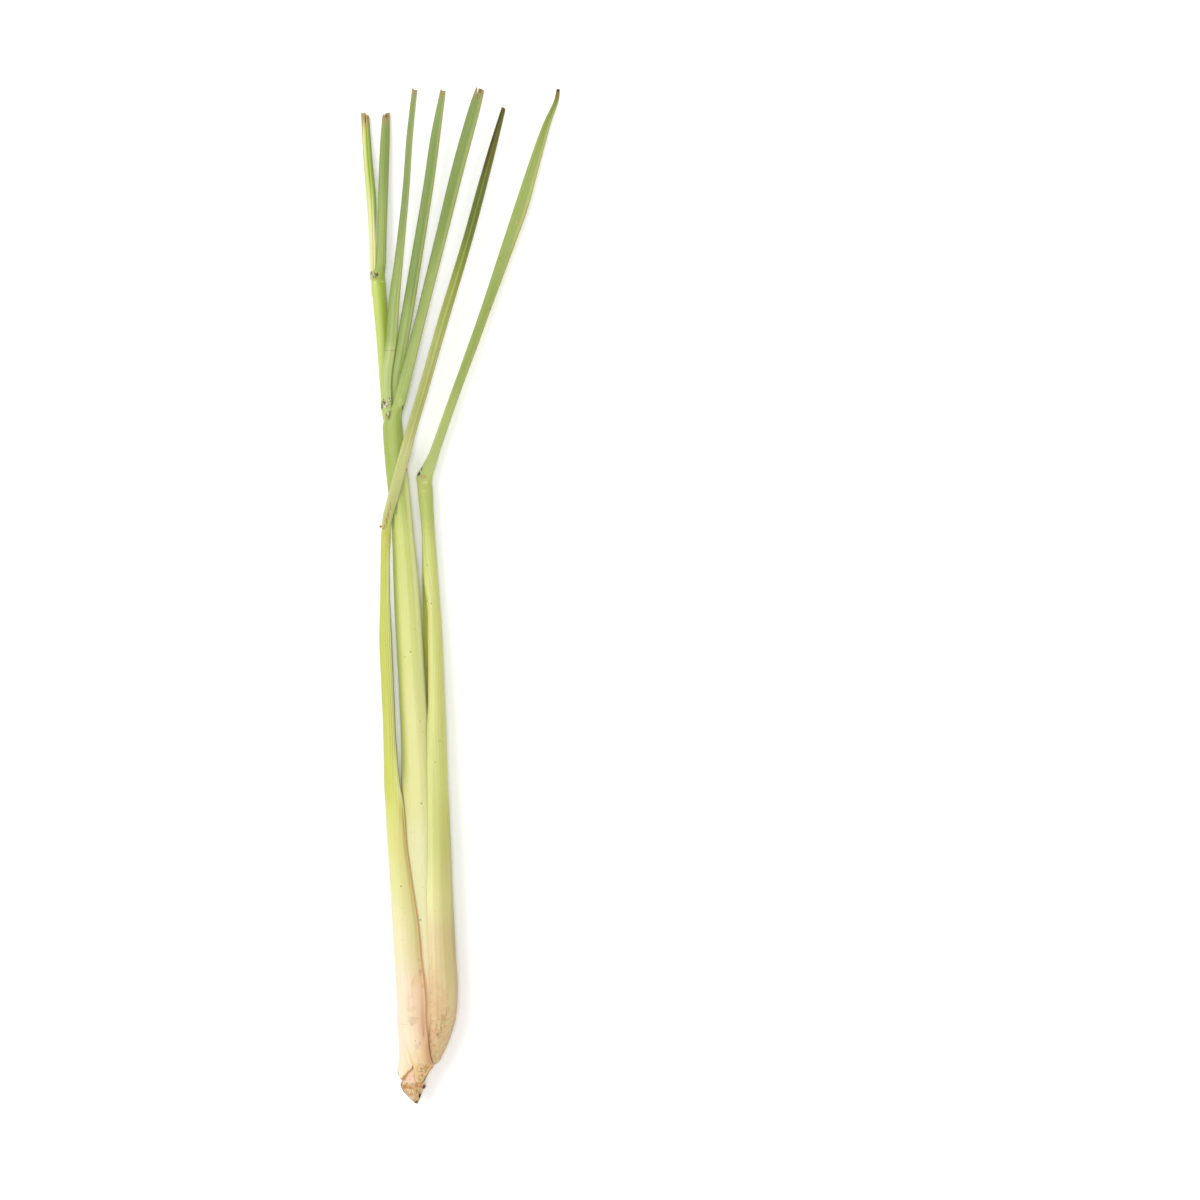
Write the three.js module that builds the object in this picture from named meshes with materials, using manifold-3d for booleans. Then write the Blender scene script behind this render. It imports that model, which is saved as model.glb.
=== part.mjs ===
// A lemongrass stalk lying on a flat surface: a woody cut root, a swollen base of rolled leaf sheaths, a
// slender stem and the trimmed blades that fan out of it.
//
// Millimetres, +Z up. The stalk lies along Y with its root towards -Y, and the surface is z = 0. The
// origin is the middle of its outline there. Every shape is a loft of rings: each ring lies in a plane
// across Y, `along` millimetres from the tip of the cut root. Leaves are one piece from the sheath to
// the cut end of the blade: the ring has an outer half and an inner half, it curls round the stem in the
// sheath and opens to a shallow channel in the blade.
import * as THREE from "three";
import Module from "manifold-3d";

// ---- Driving dimensions ----

const LENGTH = 400; // tip of the cut root to the furthest cut blade
const WALL = 0.8; // a sheath's wall
const BLADE = 0.6; // a blade's thickness
const GAP = 0.3; // clearance between two pieces that nestle together
const SHEATH_SIDES = 14; // sides on each half of a leaf's ring where it has a sheath
const ROD_SIDES = 10; // sides on each half of a rod's ring
const BLADE_SIDES = 4; // sides on each half of a ring that is only a blade's
const STEP = 8; // length of one stretch of a sheath or a rod
const BLADE_STEP = 14; // length of one stretch of a blade
const SHORTEST_STRETCH = 0.3; // share of a step below which a stretch joins the next one

// Where each collar is, along the stalk: the sheath opens into its blade between the two values.
const OUTER_COLLAR = [222, 231];
const SECOND_COLLAR = [240, 248];
const STEM_COLLAR = [266, 276];
const HEART_COLLAR = [322, 332];

// Where each rod's ring starts, in degrees: the side that becomes the +X edge of its blade.
const STEM_START = -20;
const HEART_START = -40;
const ROUND_START = 0;

// How much further the cut end of each blade runs at its +X edge than at its middle.
const CUTS = { outer: -0.4, stem: -0.6, middle: -0.5, left: -0.4, heart: 0.7, heartLeaf: -0.8 };

// ---- Stations, chosen along each piece ----
// Rods and sheaths: along, x and z of the centre, half width, half height of the outer surface, and for
// a sheath the angles in degrees where it starts and ends round that centre (0 is +X, 90 is up).
// Blades: along, x and z of the middle, half width, and how far the edges droop (or rise, if negative).

const STEM_ROD = [
  [20, -15, 9, 7.2, 5.1],
  [25, -14.2, 9.1, 8.5, 6],
  [33, -13.3, 9.2, 9.7, 6.7],
  [48, -13.3, 9.2, 10.6, 7],
  [60, -13.6, 9.2, 10.6, 7],
  [80, -14.7, 9.2, 10.5, 6.9],
  [100, -15, 9.1, 9, 6.6],
  [120, -15.9, 9, 7.3, 6.1],
  [140, -17.1, 8.8, 6.3, 5.7],
  [160, -18.7, 8.5, 5.7, 5.3],
  [198, -20.8, 8, 5.1, 4.8],
  [230, -23.2, 7.6, 4.05, 4],
  [250, -25.3, 7.3, 4, 3.7],
  [261, -26.5, 7.2, 3.65, 3.6],
  [276, -27.2, 7, 3.6, 3.5],
];
const STEM_BLADE = [
  [266, -26, 9.9, 2, 0.6],
  [276, -24, 10.5, 2.4, 0.6],
  [285, -21.9, 11, 2.3, 0.6],
  [310, -16, 11.3, 2.25, 0.6],
  [340, -8.1, 11.4, 2.35, 0.6],
  [370, -0.3, 11.6, 2.55, 0.5],
  [393, 6.2, 11.6, 2.25, 0.4],
  [399, 8.4, 11.6, 1.6, 0.3],
];

const SECOND_SHEATH = [
  [15.5, -16, 9, 5.2, 4.4, 60, -60],
  [17, -15.8, 9.1, 7.5, 5.2, 72, -72],
  [18.5, -15.4, 9.1, 8.2, 5.9, 78, -78],
  [21, -14.9, 9.2, 9, 6.6, 80, -80],
  [25, -14.2, 9.2, 10, 7.1, 78, -85],
  [33, -13.4, 9.2, 11.3, 7.8, 80, -88],
  [41, -13.2, 9.2, 11.7, 8.1, 82, -92],
  [48, -13.5, 9.2, 12.2, 8.1, 82, -95],
  [60, -13.8, 9.2, 12.1, 8.1, 81, -98],
  [80, -14.7, 9.2, 12, 8, 80, -100],
  [100, -13.4, 9, 9.9, 7.7, 84, -102],
  [120, -12.2, 8.4, 8, 7.1, 92, -110],
  [140, -11, 8, 6, 6.2, 109, -120],
  [153, -10, 7.6, 4.6, 5.5, 130, -135],
  [167, -10.4, 7, 4.1, 4.6, 127, -150],
  [182, -11.2, 6.2, 4.2, 4, 114, -160],
  [198, -11.8, 5.6, 3.8, 3.4, 114, -165],
  [206, -11.8, 5.3, 3.1, 3, 140, -168],
  [214, -12, 5.2, 2.85, 2.8, 160, -170],
  [224, -12.7, 5.1, 2.75, 2.7, 165, -160],
  [232, -13.3, 5, 2.8, 2.7, 168, -90],
  [240, -13.8, 5, 3, 2.7, 170, -20],
  [248, -14, 5, 3, 2.5, 172, 0],
];
const SECOND_BLADE = [
  [240, -14, 6.3, 3.1, 0.5],
  [247, -14.1, 6.1, 3.15, 0.6],
  [251.4, -12.7, 6, 2.5, 0.7],
  [255.3, -11.1, 6, 1.9, 0.8],
  [261, -8.5, 5.8, 1.95, 0.8],
  [280, -1.2, 5.4, 2.3, 0.8],
  [310, 8.8, 4.8, 2.2, 0.8],
  [340, 19.5, 3.8, 2.6, 0.8],
  [352, 23.6, 3.3, 2.8, 0.8],
  [370, 29, 2.4, 2.25, 0.8],
  [387, 34.4, 1.3, 1.5, 0.6],
  [396, 38, 0.7, 0.9, 0.4],
  [400, 38.6, 0.5, 0.6, 0.2],
];

const OUTER_SHEATH = [
  [7, -18.2, 8.6, 5.8, 5.5, 4, 300],
  [9.5, -18.2, 8.6, 6.1, 5.65, 2, 300],
  [12, -17.95, 8.6, 6.7, 5.8, 10, 302],
  [15, -16.8, 8.7, 7.65, 6.5, 20, 305],
  [17, -16.2, 8.8, 7.8, 6.9, 40, 305],
  [21, -15.8, 8.9, 8.3, 7.6, 56, 303],
  [25, -15.4, 9, 8.8, 8, 65, 300],
  [33, -14.8, 8.7, 9.95, 8.7, 78, 298],
  [41, -14.6, 8.5, 10.3, 8.9, 80, 296],
  [56, -15.4, 8.5, 10.45, 8.9, 85, 295],
  [72, -16.9, 8.5, 9.8, 8.8, 85, 292],
  [88, -19.3, 8.5, 8.3, 8.1, 85, 290],
  [104, -22.1, 8.4, 6.6, 6.8, 78, 290],
  [119, -24.8, 8.2, 4.7, 5.4, 52, 290],
  [127, -26.2, 8, 3.7, 4.3, 35, 292],
  [143, -27.5, 7.2, 2.7, 3.2, 5, 300],
  [159, -28.2, 6.8, 2.55, 2.9, 0, 300],
  [182, -29.2, 6.8, 2.55, 2.6, 0, 300],
  [198, -29.4, 7.4, 2.05, 2.3, 0, 300],
  [208, -29.35, 8.1, 1.95, 2.2, 0, 295],
  [216, -29.3, 8.8, 1.9, 2.1, 0, 240],
  [222, -29.1, 9.4, 1.9, 2, 0, 195],
  [231, -28.9, 10.4, 1.9, 1.9, 0, 182],
];
const OUTER_BLADE = [
  [222, -29.1, 10.6, 1.9, 0.4],
  [231, -28.3, 12, 1.95, 0.5],
  [238, -26.4, 12.8, 2.1, 0.6],
  [245, -24.5, 13.1, 2.25, 0.6],
  [253, -22.3, 13.1, 2.3, 0.6],
  [261, -20.2, 12.8, 2.15, 0.6],
  [280, -14.7, 12, 1.85, 0.5],
  [310, -6.2, 11, 1.75, 0.5],
  [340, 2.7, 10, 1.65, 0.5],
  [361, 8.5, 9.2, 1.6, 0.5],
  [380, 13.8, 8.6, 1.2, 0.4],
  [392, 17.2, 8.2, 0.8, 0.3],
];

const MIDDLE_BLADE = [
  [258, -25.2, 8.4, 1.3, 0.3],
  [275, -25.6, 8.1, 1.65, 0.4],
  [285, -25.2, 8.8, 2.1, 0.5],
  [300, -23.1, 9, 2.2, 0.5],
  [316, -20.6, 9, 2.15, 0.5],
  [332, -17.3, 9, 2, 0.5],
  [361, -12.4, 9.2, 1.9, 0.5],
  [381, -9.6, 9.4, 1.85, 0.4],
  [399, -6.6, 9.6, 1.1, 0.2],
];
const LEFT_BLADE = [
  [258, -27.9, 8.9, 0.9, 0.2],
  [275, -28.6, 9.5, 1.7, 0.3],
  [285, -29.1, 9.9, 1.95, 0.4],
  [300, -27.4, 9.8, 2.2, 0.4],
  [316, -26.5, 9.3, 2.3, 0.4],
  [332, -24.3, 8.6, 1.75, 0.4],
  [361, -21.4, 8.2, 1.4, 0.4],
  [381, -19.8, 8, 1.25, 0.3],
  [399.6, -17.8, 8, 1.05, 0.2],
];
const HEART_ROD = [
  [255, -27.2, 6, 1.6, 1.3],
  [267, -27.9, 5.9, 2.1, 1.6],
  [273, -28.7, 5.9, 2.3, 1.8],
  [281, -29.2, 5.8, 2.3, 2],
  [296, -30.1, 5.6, 2.5, 2.3],
  [322, -32.1, 5, 2.8, 2.4],
  [332, -32.8, 4.7, 2.8, 2.3],
];
const HEART_BLADE = [
  [322, -31.5, 5.6, 2.2, 0.5],
  [332, -31.3, 5.4, 1.8, 0.6],
  [361, -30.6, 3.6, 1.75, 0.6],
  [381, -29.7, 2.2, 1.8, 0.5],
  [390, -29.3, 1.4, 1.4, 0.4],
];
const HEART_LEAF_ROD = [
  [318, -34.2, 4.4, 0.9, 0.9],
  [332, -34.3, 4.2, 1.3, 1.1],
  [351, -34.8, 3.5, 1.5, 1.1],
  [371, -36.4, 2.2, 1.7, 1.1],
  [390, -37.7, 1, 1.5, 1],
];

// The torn lower rim of the outer leaf: share of the way round from its top margin, and along.
const OUTER_RIM = [
  [0, 15.2],
  [0.035, 13.8],
  [0.066, 12.7],
  [0.134, 10.2],
  [0.165, 8.3],
  [0.2, 7.5],
  [0.25, 8.1],
  [0.265, 8.6],
  [0.28, 14],
  [0.287, 14.8],
  [0.295, 14.4],
  [0.309, 13.5],
  [0.351, 12.1],
  [0.406, 10.7],
  [0.492, 9.4],
  [0.53, 10.2],
  [0.56, 11.4],
  [0.62, 11.6],
  [0.8, 9.5],
  [1, 13],
];
const RIM_FADES_AT = 18; // above this the rings of the outer leaf are level again

const SHEATHS_FROM = 21; // from here on the rings of both sheaths keep level
const SHEATHS_PART = 126; // above this the outer leaf no longer lies over the second leaf
const MARGIN_RAMP = 3.5; // how far from the second leaf's margin the outer leaf starts to rise over it

const STUB_ROD = [
  [0, -17.1, 8.2, 0.5, 0.9],
  [2, -18.1, 8.3, 2.1, 2.4],
  [4.3, -18.8, 8.4, 3.5, 3.6],
  [6.7, -18.85, 8.5, 4.65, 4.2],
  [9.5, -18.5, 8.6, 4.45, 4],
  [12, -18.2, 8.6, 5.1, 4.5],
  [14, -17.5, 8.7, 5.6, 4.9],
  [15.6, -17, 8.7, 4, 3.7],
  [17.3, -16.7, 8.7, 3.9, 3.6],
];

// ---- Small helpers ----

/** Reads stations smoothly: gives the values of a row at any distance along. */
function track(rows) {
  const size = rows[0].length - 1;
  const places = rows.map(([along]) => along);
  const values = rows.flatMap(([, ...row]) => row);
  const curve = new THREE.CubicInterpolant(places, values, size, new Float64Array(size));
  return (along) => Array.from(curve.evaluate(along));
}

/** Distances along a rod or a sheath, in whole steps so that nested pieces share their rings. */
function steppedPlaces(start, end, step = STEP) {
  const places = [start];
  const first = Math.ceil(start / step + SHORTEST_STRETCH) * step;
  for (let along = first; along < end - SHORTEST_STRETCH * step; along += step) {
    places.push(along);
  }
  return [...places, end];
}

/** Distances along a leaf: its sheath, its collar in short steps, and its blade in long ones. */
function leafPlaces(start, [collarStart, collarEnd], end) {
  const collar = [1, 2].map((third) => THREE.MathUtils.lerp(collarStart, collarEnd, third / 3));
  return [
    ...steppedPlaces(start, collarStart),
    ...collar,
    ...steppedPlaces(collarEnd, end, BLADE_STEP),
  ];
}

/** Height of an ellipse's top, or of its underside, over x; never reached where x is outside it. */
function ellipseHeight([middleX, middleZ, halfWidth, halfHeight], x, clearance, above) {
  const side = above ? 1 : -1;
  const share = (x - middleX) / (halfWidth + clearance);
  if (Math.abs(share) >= 1) return -side * Infinity;
  return middleZ + side * (halfHeight + clearance) * Math.sqrt(1 - share * share);
}

/** A point of an ellipse at an angle in degrees, with the ellipse grown by a margin. */
function ellipsePoint([middleX, middleZ, halfWidth, halfHeight], degrees, margin) {
  const angle = THREE.MathUtils.degToRad(degrees);
  const x = middleX + (halfWidth + margin) * Math.cos(angle);
  const z = middleZ + (halfHeight + margin) * Math.sin(angle);
  return [x, z];
}

// ---- Sections: where a ring's point is, given a distance along, a share 0 to 1 round, and a half ----

/** A solid rod: the outer half goes over the top from the start angle, the inner half goes below. */
function rodSection(rows, startAngle, grow = 0) {
  const rod = track(rows);
  return (along, share, inner) => {
    const turn = (180 * (0.5 + share * ROD_SIDES)) / (ROD_SIDES + 1);
    return ellipsePoint(rod(along), startAngle + (inner ? -turn : turn), grow);
  };
}

/** A blade: a thin band whose edges droop, from its +X edge to its -X edge, or back if mirrored. */
function bladeSection(rows, mirrored = false, grow = 0) {
  const blade = track(rows);
  return (along, share, inner) => {
    const [x, z, halfWidth, droop] = blade(along);
    const across = (mirrored ? -1 : 1) * (1 - 2 * share);
    const face = (BLADE / 2 + grow) * (inner ? -1 : 1);
    return [x + (halfWidth + grow) * across, z - droop * across * across + face];
  };
}

/** A sheath: a wall curled round its own middle, lifted clear of whatever it is wrapped over. */
function sheathSection(rows, coveredHeight) {
  const sheath = track(rows);
  return (along, share, inner) => {
    const [x, z, halfWidth, halfHeight, from, to] = sheath(along);
    const angle = from + (to - from) * share;
    const [pointX, pointZ] = ellipsePoint([x, z, halfWidth, halfHeight], angle, inner ? -WALL : 0);
    const above = Math.sin(THREE.MathUtils.degToRad(angle)) >= 0;
    const covered = coveredHeight(along, pointX, GAP + (inner ? 0 : WALL), above);
    const height = above ? Math.max(pointZ, covered) : Math.min(pointZ, covered);
    return [pointX, inner ? Math.max(height, WALL) : height];
  };
}

/** One section that turns into another within a collar. */
function joinSections(first, second, [start, end]) {
  return (along, share, inner) => {
    if (along <= start) return first(along, share, inner);
    if (along >= end) return second(along, share, inner);
    const mix = THREE.MathUtils.smoothstep(along, start, end);
    const [a, b] = [first(along, share, inner), second(along, share, inner)];
    return [THREE.MathUtils.lerp(a[0], b[0], mix), THREE.MathUtils.lerp(a[1], b[1], mix)];
  };
}

// ---- Solids ----

/** Twice the area inside a ring of [x, along, z] points, negative if it runs clockwise seen from -Y. */
function ringArea(ring) {
  return ring.reduce((area, [x, , z], i) => {
    const [nextX, , nextZ] = ring[(i + 1) % ring.length];
    return area + x * nextZ - nextX * z;
  }, 0);
}

/** Sweeps a section along the places. A point's own distance along can differ from its place's. */
function loft(section, places, placeAt = (place) => place, halfSides = ROD_SIDES) {
  const shares = Array.from({ length: halfSides + 1 }, (_, i) => i / halfSides);
  const around = [
    ...shares.map((share) => ({ share, inner: false })),
    ...shares.toReversed().map((share) => ({ share, inner: true })),
  ];
  const rings = places.map((place) =>
    around.map(({ share, inner }) => {
      const along = placeAt(place, share);
      const [x, z] = section(along, share, inner);
      return [x, along - LENGTH / 2, Math.max(z, 0)];
    }),
  );
  if (ringArea(rings[0]) < 0) rings.forEach((ring) => ring.reverse());

  const sides = around.length;
  const last = (rings.length - 1) * sides;
  const index = [];
  const addQuad = (a, b, c, d) => index.push(a, b, c, a, c, d);
  for (let i = 0; i < sides; i += 1) {
    const next = (i + 1) % sides;
    for (let start = 0; start < last; start += sides) {
      addQuad(start + i, start + sides + i, start + sides + next, start + next);
    }
  }
  for (let i = 0; i < halfSides; i += 1) {
    const facing = sides - 1 - i;
    addQuad(i, i + 1, facing - 1, facing);
    addQuad(last + i, last + facing, last + facing - 1, last + i + 1);
  }
  const geometry = new THREE.BufferGeometry();
  geometry.setAttribute("position", new THREE.Float32BufferAttribute(rings.flat(2), 3));
  geometry.setIndex(index);
  return geometry;
}

// ---- Cutting ----

const wasm = await Module();
wasm.setup();

/** Removes one body's solid from another, such as the socket that an inner leaf stands in. */
function cutAway(geometry, tools) {
  const toSolid = ({ attributes, index }) =>
    new wasm.Manifold(
      new wasm.Mesh({
        numProp: 3,
        vertProperties: new Float32Array(attributes.position.array),
        triVerts: new Uint32Array(index.array),
      }),
    );
  const solid = tools.reduce((body, tool) => body.subtract(toSolid(tool)), toSolid(geometry));
  const { vertProperties, triVerts } = solid.getMesh();
  const result = new THREE.BufferGeometry();
  result.setAttribute("position", new THREE.BufferAttribute(vertProperties, 3));
  result.setIndex(new THREE.BufferAttribute(triVerts, 1));
  return result;
}

/** Slants a cut end: the last ring runs further along at its first edge, and less far at the other. */
function slantedEnd(end, slant) {
  return (place, share) => (place < end ? place : end + slant * (1 - 2 * share));
}

// ---- Pieces ----

const stemRod = track(STEM_ROD);
const secondSheath = track(SECOND_SHEATH);

/** Height of the firm stem's surface over x; there is none below its hidden lower end. */
function stemHeight(along, x, clearance, above) {
  if (along < STEM_ROD[0][0]) return above ? -Infinity : Infinity;
  return ellipseHeight(stemRod(along), x, clearance, above);
}

/** Height of the stem with the second leaf on it; it ramps up at the second leaf's margins. */
function wrappedHeight(along, x, clearance, above) {
  const bare = stemHeight(along, x, clearance, above);
  if (along > SHEATHS_PART || along < SECOND_SHEATH[0][0] - 1) return bare;
  const [middleX, middleZ, halfWidth, halfHeight, from, to] = secondSheath(along);
  const [edgeX] = ellipsePoint([middleX, middleZ, halfWidth, halfHeight], above ? from : to, 0);
  const own = ellipseHeight([middleX, middleZ, halfWidth, halfHeight], x, clearance, above);
  const onStem = stemHeight(along, x, clearance + GAP + WALL, above);
  const covered = above ? Math.max(own, onStem) : Math.min(own, onStem);
  const mix = THREE.MathUtils.smoothstep(x, edgeX - MARGIN_RAMP, edgeX - GAP);
  if (mix === 0 || !Number.isFinite(covered)) return bare;
  if (!Number.isFinite(bare)) return covered;
  return THREE.MathUtils.lerp(bare, covered, mix);
}

/** The woody root end, cut off obliquely, with its upper end hidden in the outer leaf. */
function makeRootStub() {
  return loft(rodSection(STUB_ROD, ROUND_START), STUB_ROD.map(([along]) => along));
}

/** The firm rod of rolled sheaths; the sheath that ends at its collar carries the front blade. */
function makeMainStem(sockets) {
  const section = joinSections(rodSection(STEM_ROD, STEM_START), bladeSection(STEM_BLADE), STEM_COLLAR);
  const end = STEM_BLADE.at(-1)[0];
  const body = loft(section, leafPlaces(STEM_ROD[0][0], STEM_COLLAR, end), slantedEnd(end, CUTS.stem));
  return cutAway(body, sockets);
}

/** The right-hand leaf: a sheath on the right of the bulb, free from half way up, and its blade. */
function makeSecondLeaf() {
  const section = joinSections(
    sheathSection(SECOND_SHEATH, stemHeight),
    bladeSection(SECOND_BLADE, true),
    SECOND_COLLAR,
  );
  const base = SECOND_SHEATH.slice(0, 3).map(([along]) => along);
  const places = [...base, ...leafPlaces(SHEATHS_FROM, SECOND_COLLAR, SECOND_BLADE.at(-1)[0])];
  return loft(section, places, (place) => place, SHEATH_SIDES);
}

/** The left-hand leaf: the outermost sheath, torn at its base, and the blade that crosses the stem. */
function makeOuterLeaf() {
  const section = joinSections(
    sheathSection(OUTER_SHEATH, wrappedHeight),
    bladeSection(OUTER_BLADE),
    OUTER_COLLAR,
  );
  const [start, end] = [OUTER_SHEATH[0][0], OUTER_BLADE.at(-1)[0]];
  const rim = track(OUTER_RIM);
  const placeAt = (place, share) => {
    if (place >= RIM_FADES_AT) return slantedEnd(end, CUTS.outer)(place, share);
    const [rimAlong] = rim(share);
    return THREE.MathUtils.mapLinear(place, start, RIM_FADES_AT, rimAlong, RIM_FADES_AT);
  };
  const rises = [0, 0.35, 0.65, 0.85, 1];
  const base = rises.map((rise) => THREE.MathUtils.lerp(start, RIM_FADES_AT, rise));
  const places = [...base, ...leafPlaces(SHEATHS_FROM, OUTER_COLLAR, end)];
  return loft(section, places, placeAt, SHEATH_SIDES);
}

/** A trimmed blade whose hidden lower end stands in a socket. */
function makeBlade(rows, slant, grow = 0) {
  const [start, end] = [rows[0][0] - grow, rows.at(-1)[0]];
  const section = bladeSection(rows, false, grow);
  return loft(section, steppedPlaces(start, end, BLADE_STEP), slantedEnd(end, slant), BLADE_SIDES);
}

/** The bright inner stem and its own blade. */
function makeHeartStem(sockets, grow = 0) {
  const section = joinSections(
    rodSection(HEART_ROD, HEART_START, grow),
    bladeSection(HEART_BLADE, false, grow),
    HEART_COLLAR,
  );
  const end = HEART_BLADE.at(-1)[0];
  const places = leafPlaces(HEART_ROD[0][0] - grow, HEART_COLLAR, end);
  const body = loft(section, places, slantedEnd(end, CUTS.heart));
  return sockets.length ? cutAway(body, sockets) : body;
}

/** The innermost leaf, still rolled. */
function makeHeartLeaf(grow = 0) {
  const end = HEART_LEAF_ROD.at(-1)[0];
  const section = rodSection(HEART_LEAF_ROD, ROUND_START, grow);
  const places = steppedPlaces(HEART_LEAF_ROD[0][0] - grow, end, BLADE_STEP);
  return loft(section, places, slantedEnd(end, CUTS.heartLeaf));
}

/** Wraps a geometry as a named mesh of its own colour. */
function makePiece(name, geometry, color, roughness) {
  geometry.computeVertexNormals();
  const mesh = new THREE.Mesh(geometry, new THREE.MeshStandardMaterial({ color, roughness, metalness: 0 }));
  mesh.name = name;
  return mesh;
}

const stemSockets = [
  makeHeartStem([], GAP),
  makeBlade(LEFT_BLADE, 0, GAP),
  makeBlade(MIDDLE_BLADE, 0, GAP),
];

const stalk = new THREE.Group();
stalk.add(
  makePiece("root_stub", makeRootStub(), "#a98a5c", 0.85),
  makePiece("outer_leaf", makeOuterLeaf(), "#e2dc94", 0.5),
  makePiece("second_leaf", makeSecondLeaf(), "#d3d68a", 0.5),
  makePiece("main_stem", makeMainStem(stemSockets), "#d8de86", 0.45),
  makePiece("middle_leaf", makeBlade(MIDDLE_BLADE, CUTS.middle), "#86a55c", 0.55),
  makePiece("left_leaf", makeBlade(LEFT_BLADE, CUTS.left), "#8fae66", 0.55),
  makePiece("heart_stem", makeHeartStem([makeHeartLeaf(GAP)]), "#b4cc4e", 0.45),
  makePiece("heart_leaf", makeHeartLeaf(), "#e3e2a4", 0.5),
);

export default stalk;
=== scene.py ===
# %% [markdown]
# # A stalk of lemongrass
#
# The stalk lies on a pale table. It has a woody cut root, a swollen base of rolled leaf sheaths, a firm
# slender stem and seven trimmed blades. The packed model already holds every leaf as a plain solid in the
# right place. This lesson gives each one its living surface: a finer skin, with veins, torn rims and thin
# margins, and a finish of its own. Its stations are the solids' own, some of them measured again, so a skin
# may lie up to a millimetre from its solid. The packed model is loaded first and never moved.

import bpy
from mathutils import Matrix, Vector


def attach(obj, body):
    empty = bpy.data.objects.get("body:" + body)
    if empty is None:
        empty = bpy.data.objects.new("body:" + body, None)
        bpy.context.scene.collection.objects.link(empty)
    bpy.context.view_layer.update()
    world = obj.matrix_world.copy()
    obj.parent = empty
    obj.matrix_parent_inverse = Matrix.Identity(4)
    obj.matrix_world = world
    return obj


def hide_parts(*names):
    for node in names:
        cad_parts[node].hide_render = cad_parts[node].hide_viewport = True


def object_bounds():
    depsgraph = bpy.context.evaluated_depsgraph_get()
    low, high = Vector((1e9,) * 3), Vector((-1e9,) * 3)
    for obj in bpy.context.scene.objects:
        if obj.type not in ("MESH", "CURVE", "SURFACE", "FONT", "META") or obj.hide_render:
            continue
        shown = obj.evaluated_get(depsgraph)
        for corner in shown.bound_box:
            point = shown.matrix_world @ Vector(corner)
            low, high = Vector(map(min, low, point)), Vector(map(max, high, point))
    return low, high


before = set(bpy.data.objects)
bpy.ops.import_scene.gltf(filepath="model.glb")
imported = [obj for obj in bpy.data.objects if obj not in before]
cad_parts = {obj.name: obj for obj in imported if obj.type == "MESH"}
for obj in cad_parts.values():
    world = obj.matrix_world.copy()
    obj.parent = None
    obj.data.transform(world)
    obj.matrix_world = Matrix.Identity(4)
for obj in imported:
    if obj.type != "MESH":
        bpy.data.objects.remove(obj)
cad_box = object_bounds()
print("nodes:", ", ".join(sorted(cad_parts)))

# %% [markdown]
# ## Measures
#
# Grass leaves are read best along the stalk, so lengths in this lesson are millimetres from the tip of the
# cut root, and only the finished mesh is turned into metres. A leaf is one thing from its sheath to the cut
# end of its blade, so one row of stations describes its sheath and another its blade.

# %% Units and shared sizes
import functools
import math

import bpy
import numpy as np

MM = 0.001
LENGTH = 400  # tip of the cut root to the furthest cut blade
WALL = 0.8  # a sheath's wall
BLADE = 0.6  # a blade's thickness
GAP = 0.3  # clearance between two pieces that nestle together


def millimetres(corners):
    """A box's corners in millimetres, rounded for printing."""
    return [[round(value / MM, 1) for value in corner] for corner in corners]


print("the stalk is", LENGTH * MM, "m long, and its box in millimetres is", millimetres(cad_box))

# %% [markdown]
# ## Reading stations smoothly
#
# A leaf has no corners along its length, so values between stations follow a cubic curve. Its slope at a
# station is the mean of the slopes on both sides, which keeps the curve close to the stations. Everything
# is worked out for whole arrays at once. Veins and lumps come from noise that joins random numbers smoothly.

# %% Smooth curves and soft noise
LATTICE = (61, 67)  # cells after which the noise repeats
RIB_DRIFT = 0.35  # how far a rib wanders sideways, in ribs
RIB_UNEVENNESS = 0.35  # how much lower or higher than the mean a rib may be
DRIFT_LENGTH = 45  # millimetres over which a rib wanders
RIB_LENGTH = 70  # millimetres over which its height changes


def smooth(value, start=0.0, end=1.0):
    """Smoothstep: 3p^2 - 2p^3, where p runs from 0 at start to 1 at end and is clipped there."""
    p = np.clip((value - start) / (end - start), 0, 1)
    return p * p * (3 - 2 * p)


def lerp(a, b, share):
    """a + (b - a) * share."""
    return a + (b - a) * share


def track(rows):
    """Cubic Hermite curve through rows of (place, values...), as a function of the place."""
    places, values = np.array(rows, float)[:, 0], np.array(rows, float)[:, 1:]
    secants = np.diff(values, axis=0) / np.diff(places)[:, None]
    slopes = (np.vstack([secants[:1], secants]) + np.vstack([secants, secants[-1:]])) / 2

    def at(place):
        place = np.clip(place, places[0], places[-1])
        i = np.clip(np.searchsorted(places, place, side="right") - 1, 0, len(places) - 2)
        width = (places[i + 1] - places[i])[..., None]
        p = (place - places[i])[..., None] / width
        start = (1 + 2 * p) * (1 - p) ** 2 * values[i] + p * (1 - p) ** 2 * width * slopes[i]
        end = p**2 * (3 - 2 * p) * values[i + 1] + p**2 * (p - 1) * width * slopes[i + 1]
        return np.moveaxis(start + end, -1, 0)

    return at


def soft_noise(u, v, seed):
    """Value noise from -1 to 1: random numbers on a square lattice, joined by smoothsteps."""
    lattice = np.random.default_rng(seed).uniform(-1, 1, LATTICE)
    whole_u, whole_v = np.floor(u).astype(int), np.floor(v).astype(int)
    step_u, step_v = smooth(u - whole_u), smooth(v - whole_v)

    def corner(a, b):
        return lattice[(whole_u + a) % LATTICE[0], (whole_v + b) % LATTICE[1]]

    near = lerp(corner(0, 0), corner(1, 0), step_u)
    far = lerp(corner(0, 1), corner(1, 1), step_u)
    return lerp(near, far, step_v)


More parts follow.
